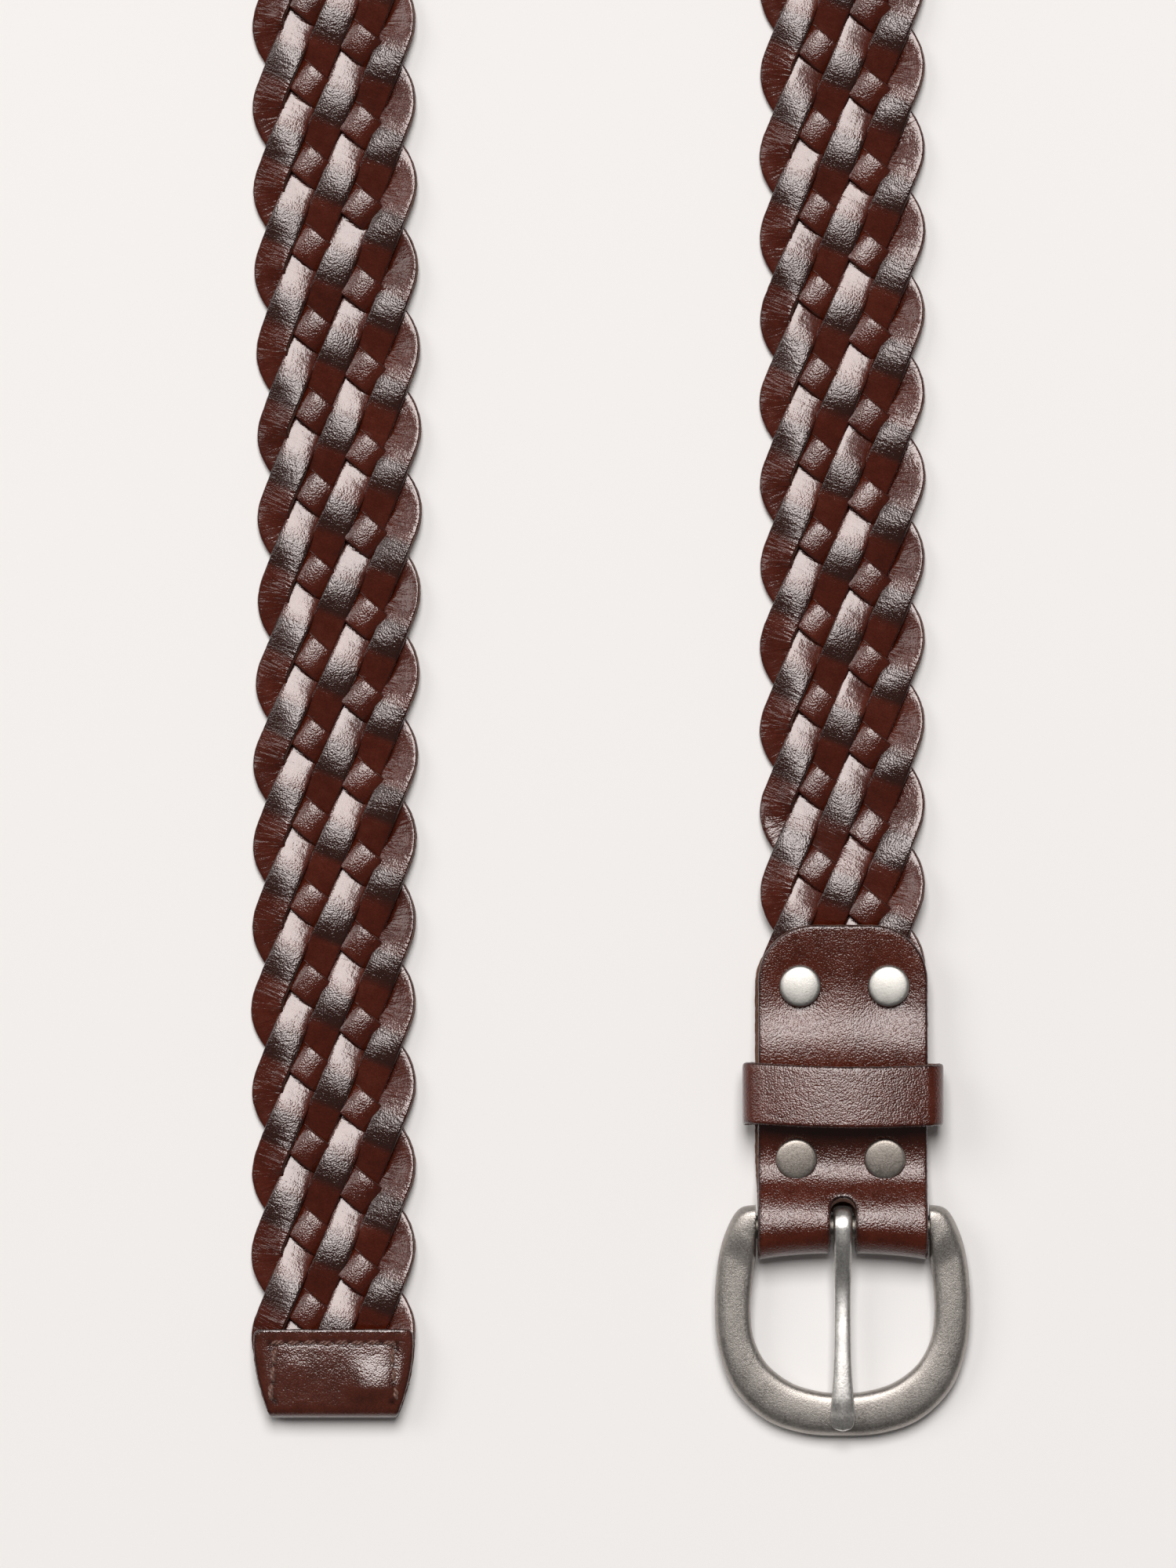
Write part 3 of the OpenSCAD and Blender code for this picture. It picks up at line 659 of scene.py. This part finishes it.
def tab():
    t = TAB_T
    back_y = np.linspace(TAB_TOP - 0.8, 0, 90)
    back = np.stack([back_y, np.full_like(back_y, t / 2 + 0.02)], -1)
    rz = (FRONT[1][0] - t / 2) / 2
    cz = t / 2 + rz
    a = np.radians(np.linspace(-90, -270, 61))[1:-1]
    arc = np.stack([4.55 * np.cos(a), cz + rz * np.sin(a)], -1)
    fy = np.linspace(0, TAB_TOP, 220)
    front = np.stack([fy, spline(FRONT[0], FRONT[1], fy)], -1)
    path = np.vstack([back, arc, front])
    fold_at_back = TAB_TOP - 0.8
    d = np.concatenate([[0], np.cumsum(np.linalg.norm(np.diff(path, axis=0), axis=1))])
    q_front0 = d[len(back) + len(arc)]
    q_end = d[-1]
    q_of_front = lambda y: np.interp(y, fy, d[len(back) + len(arc):])
    q_back0 = d[len(back) - 1]

    def relief(x, y):
        """The flap is drawn down at the rivets and stays high between them and at its middle."""
        zz = np.zeros_like(x)
        for ry, dep, rad in ((LOW_Y, 0.22, 5.0), (UP_Y - 0.8, 0.85, 6.2)):
            for sx in (-1, 1):
                zz = zz - dep * np.exp(-((x - sx * RIV_X) ** 2 + (y - ry) ** 2) / rad ** 2)
        zz = zz + 0.20 * np.exp(-((y - 43) / 5.0) ** 2) * np.cos(np.clip(x / 17.5, -1, 1) * np.pi / 2)
        return zz - 0.30 * smooth((y - 50) / 10) * (np.abs(x) / 17.5) ** 2

    def warp(p, nrm, x, y, q):
        f = q >= q_front0
        p[:, 2] += np.where(f, relief(x, y), 0)
        # the corners of the fold hang lower than its middle, and the lower flap sits a little to one side
        bend = smooth((6.0 - y) / 9.0) * smooth((p[:, 2] - 0.8) / 2.5)
        p[:, 1] -= (1.3 * (np.abs(x) / 17.5) ** 2.4 - 0.15) * bend
        p[:, 0] -= np.where(f, 0, 0.55 * smooth((q_back0 - 4 - q) / 12))
        e = 0.15
        g = (relief(x + e, y) - relief(x - e, y)) / (2 * e)
        gy = (relief(x, y + e) - relief(x, y - e)) / (2 * e)
        n2 = nrm.copy()
        n2[:, 0] -= np.where(f, g, 0)
        n2[:, 1] -= np.where(f, gy, 0)
        return p, n2 / np.linalg.norm(n2, axis=1)[:, None]

    fold, _ = polyline_fold(path, RX, BAR_Y, 1.0, warp)
    W, C = 17.5, 11.5

    def end_arc(sign):
        """Rounded end in (x, q): sign +1 at the front flap's end, -1 at the back flap's end."""
        q0 = q_end if sign > 0 else 0.0
        pts = []
        for cx, a0 in ((W - C, 0), (-(W - C), 90)):
            for i in range(13):
                a = math.radians(a0 + 90 * i / 12)
                pts.append((cx + C * math.cos(a), q0 - sign * C + sign * C * math.sin(a)))
        return pts
    front_end = end_arc(1)
    back_end = end_arc(-1)[::-1]
    outline = front_end + back_end
    # slot: runs from the front flap round the fold to the back flap
    s_lo = q_back0 - (SLOT_TOP - 1.5)
    s_hi = q_of_front(SLOT_TOP)
    slot = []
    for i in range(17):
        a = math.pi * i / 16
        slot.append((SLOT_R * math.cos(a), s_hi - SLOT_R + SLOT_R * math.sin(a)))
    for i in range(17):
        a = math.pi + math.pi * i / 16
        slot.append((SLOT_R * math.cos(a), s_lo + SLOT_R + SLOT_R * math.sin(a)))

    return sheet_solid("tab_leather_strip", outline, [slot], fold, t, 0.55, 0.95, [TAB_LEATHER, RAW, FLESH], "root", ("buckle_tab",),
                       edge_step=0.55, rough_edge=0.035)


tab()


# ------------------------------------------------------------------ keeper loop
def keeper():
    t = 1.55
    kz0, kz1, half, crown = 2.42, 14.0, 20.8, 2.6
    w = 12.6
    # centre line of the band in XZ
    r = 3.4
    path = []
    hx = half - t / 2
    n = 60
    top_z = lambda x: kz1 - t / 2 - crown * (x / half) ** 2
    for x in np.linspace(-(hx - r), hx - r, n):
        path.append((x, top_z(x)))
    zc = top_z(hx - r)
    for a in np.linspace(90 - 8, 0, 14)[1:]:
        path.append((hx - r + r * math.cos(math.radians(a)), zc - r + r * math.sin(math.radians(a))))
    rl = 1.7
    zb = kz0 + t / 2
    for z in np.linspace(zc - r, zb + rl, 6)[1:]:
        path.append((hx, z))
    for a in np.linspace(0, -90, 9)[1:]:
        path.append((hx - rl + rl * math.cos(math.radians(a)), zb + rl + rl * math.sin(math.radians(a))))
    for x in np.linspace(hx - rl, -(hx - rl), 40)[1:]:
        path.append((x, zb))
    left = [(-x, z) for x, z in path[n:n + 13 + 5 + 8]][::-1]
    path += left
    path = np.array(path)
    keepm = np.concatenate([[True], np.linalg.norm(np.diff(path, axis=0), axis=1) > 1e-4])
    path = path[keepm]
    if np.linalg.norm(path[0] - path[-1]) < 1e-3:
        path = path[:-1]
    # resample the closed path evenly
    cl = np.vstack([path, path[:1]])
    d = np.concatenate([[0], np.cumsum(np.linalg.norm(np.diff(cl, axis=0), axis=1))])
    m = 220
    tt = np.linspace(0, d[-1], m, endpoint=False)
    path = np.stack([np.interp(tt, d, cl[:, i]) for i in (0, 1)], -1)
    for _ in range(4):
        path = (np.roll(path, 1, 0) + 2 * path + np.roll(path, -1, 0)) / 4
    tan = np.roll(path, -1, 0) - np.roll(path, 1, 0)
    tan /= np.linalg.norm(tan, axis=1)[:, None]
    nrm = np.stack([-tan[:, 1], tan[:, 0]], -1)
    cen = path.mean(0)
    if ((path - cen) * nrm).sum() < 0:
        nrm = -nrm
    a = w / 2
    prof = []
    top = lambda o: t / 2 - 0.05 * (o / a) ** 2
    right = [(a - 0.12, -t / 2), (a, -t / 2 + 0.12), (a, 0.0), (a - 0.01, t / 2 - 0.50), (a - 0.08, t / 2 - 0.28), (a - 0.24, t / 2 - 0.13), (a - 0.5, t / 2 - 0.06)]
    tops = [(a * f, top(a * f)) for f in (0.86, 0.7, 0.5, 0.25, 0.0)]
    rp = right + tops
    prof = rp + [(-o, v) for o, v in reversed(rp[:-1])] + [(-a * 0.5, -t / 2), (0, -t / 2), (a * 0.5, -t / 2)]
    o = np.array([q[0] for q in prof])
    v = np.array([q[1] for q in prof])
    k = len(prof)
    kinds = []
    for j in range(k):
        j2 = (j + 1) % k
        if v[j] <= -t / 2 + 1e-6 and v[j2] <= -t / 2 + 1e-6:
            kinds.append(2)
        elif max(v[j], v[j2]) <= t / 2 - 0.45:
            kinds.append(1)
        else:
            kinds.append(0)
    bowy = -0.75 * (1 - (path[:, 0] / half) ** 2) + 0.35 + 0.012 * path[:, 0] * -1.0
    upper = smooth((path[:, 1] - 6) / 5)
    bowy = bowy * upper
    jit = np.clip(rng.normal(0, 0.035, (m, k)), -0.08, 0.08)
    oo = o[None, :] + np.where((np.abs(o) > a - 0.1)[None, :], np.sign(o)[None, :] * jit, 0)
    P = np.zeros((m, k, 3))
    P[..., 0] = RX + path[:, None, 0] + nrm[:, None, 0] * v[None, :]
    P[..., 2] = path[:, None, 1] + nrm[:, None, 1] * v[None, :]
    P[..., 2] -= (smooth((path[:, 1] - 6) / 5))[:, None] * oo * 0.10
    P[..., 1] = BAR_Y + 27.4 + oo + bowy[:, None]
    faces = sweep_faces(m, k, loop=True)
    fm = [kinds[j] for i in range(m) for j in range(k)]
    edge_dye_and_hole_shade = np.clip((a - np.abs(np.tile(o, m))) / 1.1, 0, 1)
    return make("keeper_band", P.reshape(-1, 3), faces, [KEEPER_LEATHER, RAW, FLESH], "keeper", fm, ("keeper_loop",), {"edge_dye_and_hole_shade": edge_dye_and_hole_shade})


keeper()


# ------------------------------------------------------------------ rivet caps
def lathe(prof, seg=64):
    prof = np.asarray(prof, float)
    a = np.linspace(0, 2 * np.pi, seg, endpoint=False)
    ring = np.stack([np.outer(np.cos(a), prof[:, 0]), np.outer(np.sin(a), prof[:, 0]), np.tile(prof[:, 1], (seg, 1))], -1)
    return ring


def rivet_caps(name, y, z, node, tilt, mat, dx):
    R = 4.3
    prof = [(0.02, -0.25), (R - 0.45, -0.25), (R - 0.10, -0.10), (R, 0.12), (R, 0.55), (R - 0.03, 0.86), (R - 0.11, 1.12), (R - 0.25, 1.29), (R - 0.48, 1.39),
            (R - 0.9, 1.46), (R - 1.6, 1.53), (R - 2.5, 1.58), (R - 3.4, 1.61), (0.02, 1.62)]
    verts, faces = [], []
    for sx in (-1, 1):
        ring = lathe(prof)
        ring[..., 2] -= ring[..., 1] * math.tan(math.radians(tilt)) - 0.01 * sx * ring[..., 0]
        ring[..., 0] += RX + dx + sx * (RIV_X + 0.05)
        ring[..., 1] += BAR_Y + y
        ring[..., 2] += z
        base = len(verts)
        n, m = ring.shape[0], ring.shape[1]
        verts += list(ring.reshape(-1, 3))
        for i in range(n):
            i2 = (i + 1) % n
            for j in range(m - 1):
                faces.append((base + i * m + j, base + i2 * m + j, base + i2 * m + j + 1, base + i * m + j + 1))
        faces.append(tuple(base + i * m for i in range(n - 1, -1, -1)))
        faces.append(tuple(base + i * m + m - 1 for i in range(n)))
    return make(name, verts, faces, [mat], "root", None, (node,))


rivet_caps("rivet_domes_upper", UP_Y, 7.42, "rivet_caps_upper", 3.0, CAP_NICKEL, 0.3)
# the lower pair takes the nickel copy that carries the keeper's painted shade
rivet_caps("rivet_domes_lower", LOW_Y, 4.55, "rivet_caps_lower", -5.0, CAP_NICKEL_KEEPER_SHADE, -0.4)

# ------------------------------------------------------------------ buckle frame
OUTER = [(17.2, 4.6), (21.5, 3.5), (24.4, -1.8), (25.9, -8.4), (26.4, -16.9), (25.6, -25.4), (22.5, -33.6), (16.2, -39.9), (8.4, -42.8), (0, -43.4)]
INNER = [(15.0, 0.0), (17.3, -2.0), (18.0, -6.5), (18.7, -12.0), (19.0, -17.8), (18.3, -23.4), (15.6, -28.6), (10.8, -32.4), (5.4, -34.2), (0, -34.7)]
FRAME_T = 4.5
FAR = 42.72
TILT = math.asin(BAR_Z / math.hypot(FAR, FRAME_T / 2)) - math.atan2(FRAME_T / 2, FAR)


def cr_curve(pts, t):
    """Point at t (0 to 9) on the smooth curve through the ten points; it mirrors past the last one."""
    p = np.array(pts, float)
    ext = np.vstack([2 * p[0] - p[1], p, p[8] * [-1, 1], p[7] * [-1, 1]])
    i = min(int(math.floor(t)), 8)
    a, b, c, d = ext[i], ext[i + 1], ext[i + 2], ext[i + 3]
    f = t - i
    return 0.5 * (2 * b + (c - a) * f + (2 * a - 5 * b + 4 * c - d) * f * f + (3 * b - a - 3 * c + d) * f ** 3)


def at_bar(P):
    """Local buckle coordinates (bar axis at the origin) to the row frame."""
    P = np.asarray(P, float)
    c, s = math.cos(TILT), math.sin(TILT)
    y = P[..., 1] * c - P[..., 2] * s
    z = P[..., 1] * s + P[..., 2] * c
    return np.stack([P[..., 0] + RX, y + BAR_Y, z + BAR_Z], -1)


def frame_ring():
    n = 240
    h = FRAME_T / 2
    secs = []
    # section as (share across from inner to outer, height): soft shoulders, a broad face that falls to the outer edge
    sec = [(0.12, -h), (0.04, -h + 0.2), (0.0, -h + 0.7), (0.0, -0.4), (0.0, 0.55), (0.012, 1.05), (0.045, 1.48), (0.09, 1.76), (0.15, 1.94), (0.24, 2.04), (0.36, 2.10), (0.50, 2.11),
           (0.62, 2.07), (0.73, 1.98), (0.82, 1.83), (0.89, 1.56), (0.945, 1.12), (0.985, 0.50), (1.0, -0.30), (1.0, -h + 0.75), (0.97, -h + 0.25), (0.90, -h)]
    for i in range(n + 1):
        t = 18 * i / n
        if t <= 9:
            a, b = cr_curve(INNER, t), cr_curve(OUTER, t)
        else:
            a, b = cr_curve(INNER, 18 - t) * [-1, 1], cr_curve(OUTER, 18 - t) * [-1, 1]
        # the ends swell round the bar
        y = (a[1] + b[1]) / 2
        k = 1 + 0.33 * smooth(np.array((y + 7.5) / 6.5))
        secs.append([(a[0] + (b[0] - a[0]) * f, a[1] + (b[1] - a[1]) * f, z * (k if z > 0 else 1)) for f, z in sec])
    P = np.array(secs)
    # beside the leather the frame is cut flat, and its ends stand just clear of the tab
    lim = 17.95
    near = P[..., 1] > -7.2
    P[..., 0] = np.where(near & (np.abs(P[..., 0]) < lim), np.sign(P[..., 0] + 1e-9) * lim, P[..., 0])
    m = len(sec)
    faces = sweep_faces(n + 1, m)
    ob = make("frame_cast", at_bar(P).reshape(-1, 3), faces, [NICKEL], "buckle", None, ("buckle_frame",))
    return ob


frame_ring()


# ------------------------------------------------------------------ prong
def prong():
    ctrl = np.array([[0.0, 3.42, 1.95, 0.95], [-3, 3.10, 1.95, 1.05], [-6, 2.35, 1.92, 1.15], [-9, 1.52, 1.86, 1.2], [-12, 1.06, 1.78, 1.2], [-15, 1.02, 1.72, 1.2], [-18, 1.28, 1.70, 1.15],
                     [-22, 1.74, 1.74, 1.15], [-26, 2.16, 1.82, 1.1], [-30, 2.55, 1.96, 1.1], [-34, 2.90, 2.22, 1.05], [-37, 3.08, 2.40, 0.95], [-39.5, 3.12, 2.48, 0.8], [-42.0, 2.85, 1.9, 0.5]])
    # a loop round the bar, then the shaft
    rings = []
    r_mid, th = BAR_R + 0.08 + 0.95, 0.95
    for a in np.radians(np.linspace(-140, 88, 40)):
        c = np.array([0, r_mid * math.cos(a), r_mid * math.sin(a)])
        nrm = np.array([0, math.cos(a), math.sin(a)])
        rings.append((c, nrm, 1.95, th, 0.0))
    k = np.linspace(0, 1, 70) ** 1.0
    ys = np.interp(k * (len(ctrl) - 1), np.arange(len(ctrl)), ctrl[:, 0])
    xs = -ctrl[:, 0]
    zc = spline(xs, ctrl[:, 1], -ys)
    wc = spline(xs, ctrl[:, 2], -ys)
    tc = spline(xs, ctrl[:, 3], -ys)
    shaft = np.stack([np.zeros_like(ys), ys, zc], -1)
    for i in range(1, len(ys)):
        tn = shaft[min(i + 1, len(ys) - 1)] - shaft[i - 1]
        tn /= np.linalg.norm(tn)
        nrm = np.array([0, tn[2], -tn[1]])
        nrm = nrm if nrm[2] > 0 else -nrm
        w_ = wc[i]
        if ys[i] < -41.0:
            w_ *= math.sqrt(max(0.03, 1 - ((-ys[i] - 41.0) / 1.05) ** 2))
        rings.append((shaft[i], nrm, w_, tc[i], smooth(np.array([(-ys[i] - 35.5) / 3]))[0]))
    # blend the shaft's first rings with the barrel
    V = []
    m = 28
    for c, nrm, w_, t_, spoon in rings:
        flat = float(smooth(np.array((-c[1] - 5) / 8)))
        for j in range(m):
            a = 2 * math.pi * j / m
            ca, sa = math.cos(a), math.sin(a)
            ox = w_ * math.copysign(abs(ca) ** 0.85, ca)
            oz = t_ * math.copysign(abs(sa) ** (0.85 - 0.33 * flat if sa > 0 else 0.85), sa)
            if sa > 0 and spoon > 0:
                oz = oz * (1 - spoon) + spoon * (t_ * 0.35 + 0.55 * t_ * (1 - abs(ca)))
            V.append(c + np.array([ox, 0, 0]) + nrm * oz)
    P = at_bar(np.array(V))
    faces = sweep_faces(len(rings), m)
    return make("prong_cast", P, faces, [PRONG_NICKEL_PAINTED_HIGHLIGHT], "prong", None, ("prong",))


prong()


# ------------------------------------------------------------------ end cap and its stitching
CAPW = [(0, 12.6), (0.6, 13.25), (4, 14.5), (8, 15.6), (12, 16.3), (15, 16.5), (17.6, 16.4), (18.4, 15.6)]
CAP_H = 5.9
CAP_X = LX + float(sway(np.array(TIP_Y)))


def end_cap():
    t = CAP_T
    L = 18.4
    # side view: lower layer, end fold, upper layer; the free edges press down on the braid
    top_y = np.linspace(1.9, L, 70)
    top_z = CAP_H - t / 2 - 0.05 - 0.55 * smooth((2.6 - top_y) / 2.6) + 0.10 * smooth((top_y - L + 3.0) / 3.0)
    bot_y = np.linspace(L - 0.5, 1.9, 50)
    bot_z = np.full_like(bot_y, t / 2 + 0.03)
    r = (top_z[0] - bot_z[-1]) / 2
    cz = bot_z[-1] + r
    a = np.radians(np.linspace(-90, -270, 31))[1:-1]
    arc = np.stack([1.9 + (1.9 - t / 2) * np.cos(a), cz + r * np.sin(a)], -1)
    path = np.vstack([np.stack([bot_y, bot_z], -1), arc, np.stack([top_y, top_z], -1)])
    d = np.concatenate([[0], np.cumsum(np.linalg.norm(np.diff(path, axis=0), axis=1))])
    q0 = d[len(bot_y) - 1]
    q1 = d[len(bot_y) + len(arc)]

    def zz(x, y):
        pil = 0.22 * np.cos(np.clip(x / 16, -1, 1) * np.pi / 2) * np.exp(-((y - 9) / 6) ** 2)
        groove = -0.09 * np.exp(-((y - 15.6) / 0.8) ** 2) * smooth((13.9 - np.abs(x)) / 0.8)
        col = -0.14 * (np.exp(-((np.abs(x) - 12.6) / 0.8) ** 2)) * smooth((16.2 - y) / 1.5) * smooth((y - 2) / 2)
        # the right half is pressed down towards the braid, the left half lies flatter
        swell = 0.85 * smooth((x - 0.5) / 5.5) * np.exp(-((x - 8.5) / 6.5) ** 2) * smooth((14.8 - y) / 9.5) * smooth((y - 1.9) / 4.5) + 0.12 * np.exp(-((x + 8) / 3.0) ** 2 - ((y - 10.5) / 2.5) ** 2)
        edge = swell - 0.35 * smooth((np.abs(x) / np.interp(y, [c[0] for c in CAPW], [c[1] for c in CAPW]) - 0.86) / 0.14)
        return pil + groove + col + edge

    def warp(p, nrm, x, y, q):
        f = q >= q1
        k = np.where(f, 1.0, 0.0)
        p[:, 2] += k * zz(x, y)
        e = 0.1
        nrm[:, 0] -= k * (zz(x + e, y) - zz(x - e, y)) / (2 * e)
        nrm[:, 1] -= k * (zz(x, y + e) - zz(x, y - e)) / (2 * e)
        nrm /= np.linalg.norm(nrm, axis=1)[:, None]
        return p, nrm

    fold, _ = polyline_fold(path, CAP_X, TIP_Y, 1.0, warp)
    cy = [c[0] for c in CAPW]
    cw = [c[1] for c in CAPW]
    out = []
    q_top = lambda y: np.interp(y, top_y, d[len(bot_y) + len(arc):])
    q_bot = lambda y: np.interp(-y, -bot_y, d[:len(bot_y)])
    yy = np.array([18.4, 18.1, 17.5, 16.5, 15, 12, 8, 4, 2.2])
    cut = lambda y: np.interp(y, cy, cw)
    rs = [(cut(y), float(q_top(y))) for y in yy]
    fold_pts = [(12.75, (q0 + q1) / 2)]
    rb = [(min(cut(y) + 0.25, 16.9), float(q_bot(min(y, L - 0.5)))) for y in yy[::-1][:-1]]
    right = rs + fold_pts + rb
    out = right + [(-x, q) for x, q in reversed(right)]
    # stitch-hole positions; the face is darkened round them as painted shade
    hole_shade_pricks = [(-13.2 + 3.3 * i, float(q_top(15.6))) for i in range(9)]
    hole_shade_pricks += [(sgn * (13.0 - 0.33 * i), float(q_top(14.4 - 3.6 * i))) for sgn in (-1, 1) for i in range(4)]
    return sheet_solid("cap_leather_fold", out, [], fold, t, 0.4, 0.55, [CAP_LEATHER, RAW_DARK, FLESH], "root", ("end_cap",),
                       edge_step=0.55, rough_edge=0.03, hole_shade_pricks=hole_shade_pricks)


end_cap()


def thread_run(p0, p1, sink, r=0.42, plies=2, twist=1.2, n=15, m=8):
    """One stitch: a short run of twisted two-ply thread whose ends dive into the leather. Returns verts and faces."""
    p0, p1 = np.array(p0, float), np.array(p1, float)
    L = np.linalg.norm(p1 - p0)
    ax = (p1 - p0) / L
    up = np.array([0, 0, 1.0])
    sd = np.cross(ax, up)
    verts, faces = [], []
    for pl in range(plies):
        base = len(verts)
        c = []
        for i in range(n):
            f = i / (n - 1)
            drop = -sink * (abs(2 * f - 1) ** 3.2)
            a = 2 * math.pi * (twist * f + pl / plies)
            off = 0.26 if plies > 1 else 0
            c.append(p0 + ax * L * f + up * drop + off * (sd * math.cos(a) + up * math.sin(a)))
        c = np.array(c)
        tan = np.gradient(c, axis=0)
        tan /= np.linalg.norm(tan, axis=1)[:, None]
        for i in range(n):
            e1 = np.cross(tan[i], up)
            e1 /= np.linalg.norm(e1) + 1e-9
            e2 = np.cross(e1, tan[i])
            rr = r * (0.72 if plies > 1 else 1.0)
            for j in range(m):
                a = 2 * math.pi * j / m
                verts.append(c[i] + rr * (e1 * math.cos(a) + e2 * math.sin(a)))
        faces += [tuple(base + q for q in f) for f in sweep_faces(n, m)]
    return verts, faces


def stitches(name, runs, node):
    V, F = [], []
    for p0, p1, sink in runs:
        v, f = thread_run(p0, p1, sink, 0.34 if "top" in name else 0.44)
        b = len(V)
        V += v
        F += [tuple(b + i for i in q) for q in f]
    return make(name, V, F, [THREAD], "root", None, (node,))


ZT = CAP_H + 0.20
tr, bl = [], []
for i in range(8):
    x = -11.55 + 3.3 * i
    tr.append(((CAP_X + x - 1.25, TIP_Y + 15.6, ZT - 0.02), (CAP_X + x + 1.25, TIP_Y + 15.6 + 0.12 * (-1) ** i, ZT - 0.02), 0.75))
    tr.append(((CAP_X + x - 1.2, TIP_Y + 15.6, 0.62), (CAP_X + x + 1.2, TIP_Y + 15.6, 0.62), -0.1))
stitches("thread_top_row", tr, "stitch_top_row")
for nm, sgn, node in (("thread_left_column", -1, "stitch_left_column"), ("thread_right_column", 1, "stitch_right_column")):
    runs = []
    for i in range(3):
        x = sgn * (12.9 - 0.35 * (2 - i))
        y = 12.6 - 3.6 * i
        runs.append(((CAP_X + x, TIP_Y + y - 1.45, ZT), (CAP_X + x, TIP_Y + y + 1.45, ZT), 0.75))
        runs.append(((CAP_X + x, TIP_Y + y - 1.3, 0.62), (CAP_X + x, TIP_Y + y + 1.3, 0.62), -0.1))
    stitches(nm, runs, node)


# ------------------------------------------------------------------ CAD nodes that stay
def dress(node, mat):
    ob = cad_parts[node]
    for o in (ob if isinstance(ob, (list, tuple)) else [ob]):
        o.data.materials.clear()
        o.data.materials.append(mat)


# the hinge bar takes the near-black nickel that carries painted shade
dress("hinge_bar", BAR_NICKEL_PAINTED_SHADE)
dress("rivet_posts_upper", STEEL)
dress("rivet_posts_lower", STEEL)
dress("keeper_staple", WIRE)

# ------------------------------------------------------------------ floor, light, camera
fm, fnt, fp = nodes_of("floor_paper")
fp.inputs["Base Color"].default_value = (0.80, 0.785, 0.780, 1)
fp.inputs["Roughness"].default_value = 0.9
fp.inputs["Specular IOR Level"].default_value = 0.1
me = bpy.data.meshes.new("floor")
me.from_pydata([(-6, -6, -0.0002), (6, -6, -0.0002), (6, 6, -0.0002), (-6, 6, -0.0002)], [], [(0, 1, 2, 3)])
me.materials.append(fm)
floor = bpy.data.objects.new("floor", me)
bpy.context.scene.collection.objects.link(floor)

CX, CY = MID * MM, -0.1304


def area_light(name, loc, target, sx, sy, power, color=(1, 1, 1)):
    li = bpy.data.lights.new(name, "AREA")
    li.shape = "RECTANGLE"
    li.size, li.size_y = sx, sy
    li.energy = power
    li.color = color
    ob = bpy.data.objects.new(name, li)
    ob.location = loc
    d = Vector(target) - Vector(loc)
    ob.rotation_euler = d.to_track_quat("-Z", "Y").to_euler()
    bpy.context.scene.collection.objects.link(ob)
    return ob


def panel(name, az, el, dist, sx, sy, radiance, color=(1.0, 0.98, 0.96)):
    """A softbox whose middle is seen from the subject at azimuth az (from +X) and elevation el."""
    a, e = math.radians(az), math.radians(el)
    loc = (CX + dist * math.cos(e) * math.cos(a), CY + dist * math.cos(e) * math.sin(a), dist * math.sin(e))
    return area_light(name, loc, (CX, CY, 0), sx, sy, radiance * math.pi * sx * sy, color)


panel("key_top", 91, 63.6, 6.0, 2.55, 3.60, 12.9)
panel("fill_left", 150, 40, 6.0, 2.9, 2.9, 3.2)

world = bpy.data.worlds.new("studio")
bpy.context.scene.world = world
world.use_nodes = True
bg = world.node_tree.nodes["Background"]
# a pale studio wall low down all round, under a dim ceiling
wnt = world.node_tree
sep = wnt.nodes.new("ShaderNodeSeparateXYZ")
link(wnt, wnt.nodes.new("ShaderNodeTexCoord").outputs["Generated"], sep.inputs[0])
wall = ramp(wnt, sep.outputs["Z"], [(0.0, (0.62, 0.61, 0.60)), (0.13, (0.50, 0.493, 0.485)), (0.30, (0.095, 0.0935, 0.092))])
link(wnt, wall, bg.inputs["Color"])
bg.inputs["Strength"].default_value = 1.0

cam = bpy.data.cameras.new("camera")
cam.type = "PERSP"
cam.sensor_width = 36
cam.lens = 36 * 2.4 / 0.32415
cam.clip_end = 20
cam_ob = bpy.data.objects.new("camera", cam)
cam_ob.location = (CX, CY, 2.4 + 0.003)
cam_ob.rotation_euler = (0, 0, 0)
bpy.context.scene.collection.objects.link(cam_ob)
bpy.context.scene.camera = cam_ob

bpy.context.scene.view_settings.view_transform = "Standard"
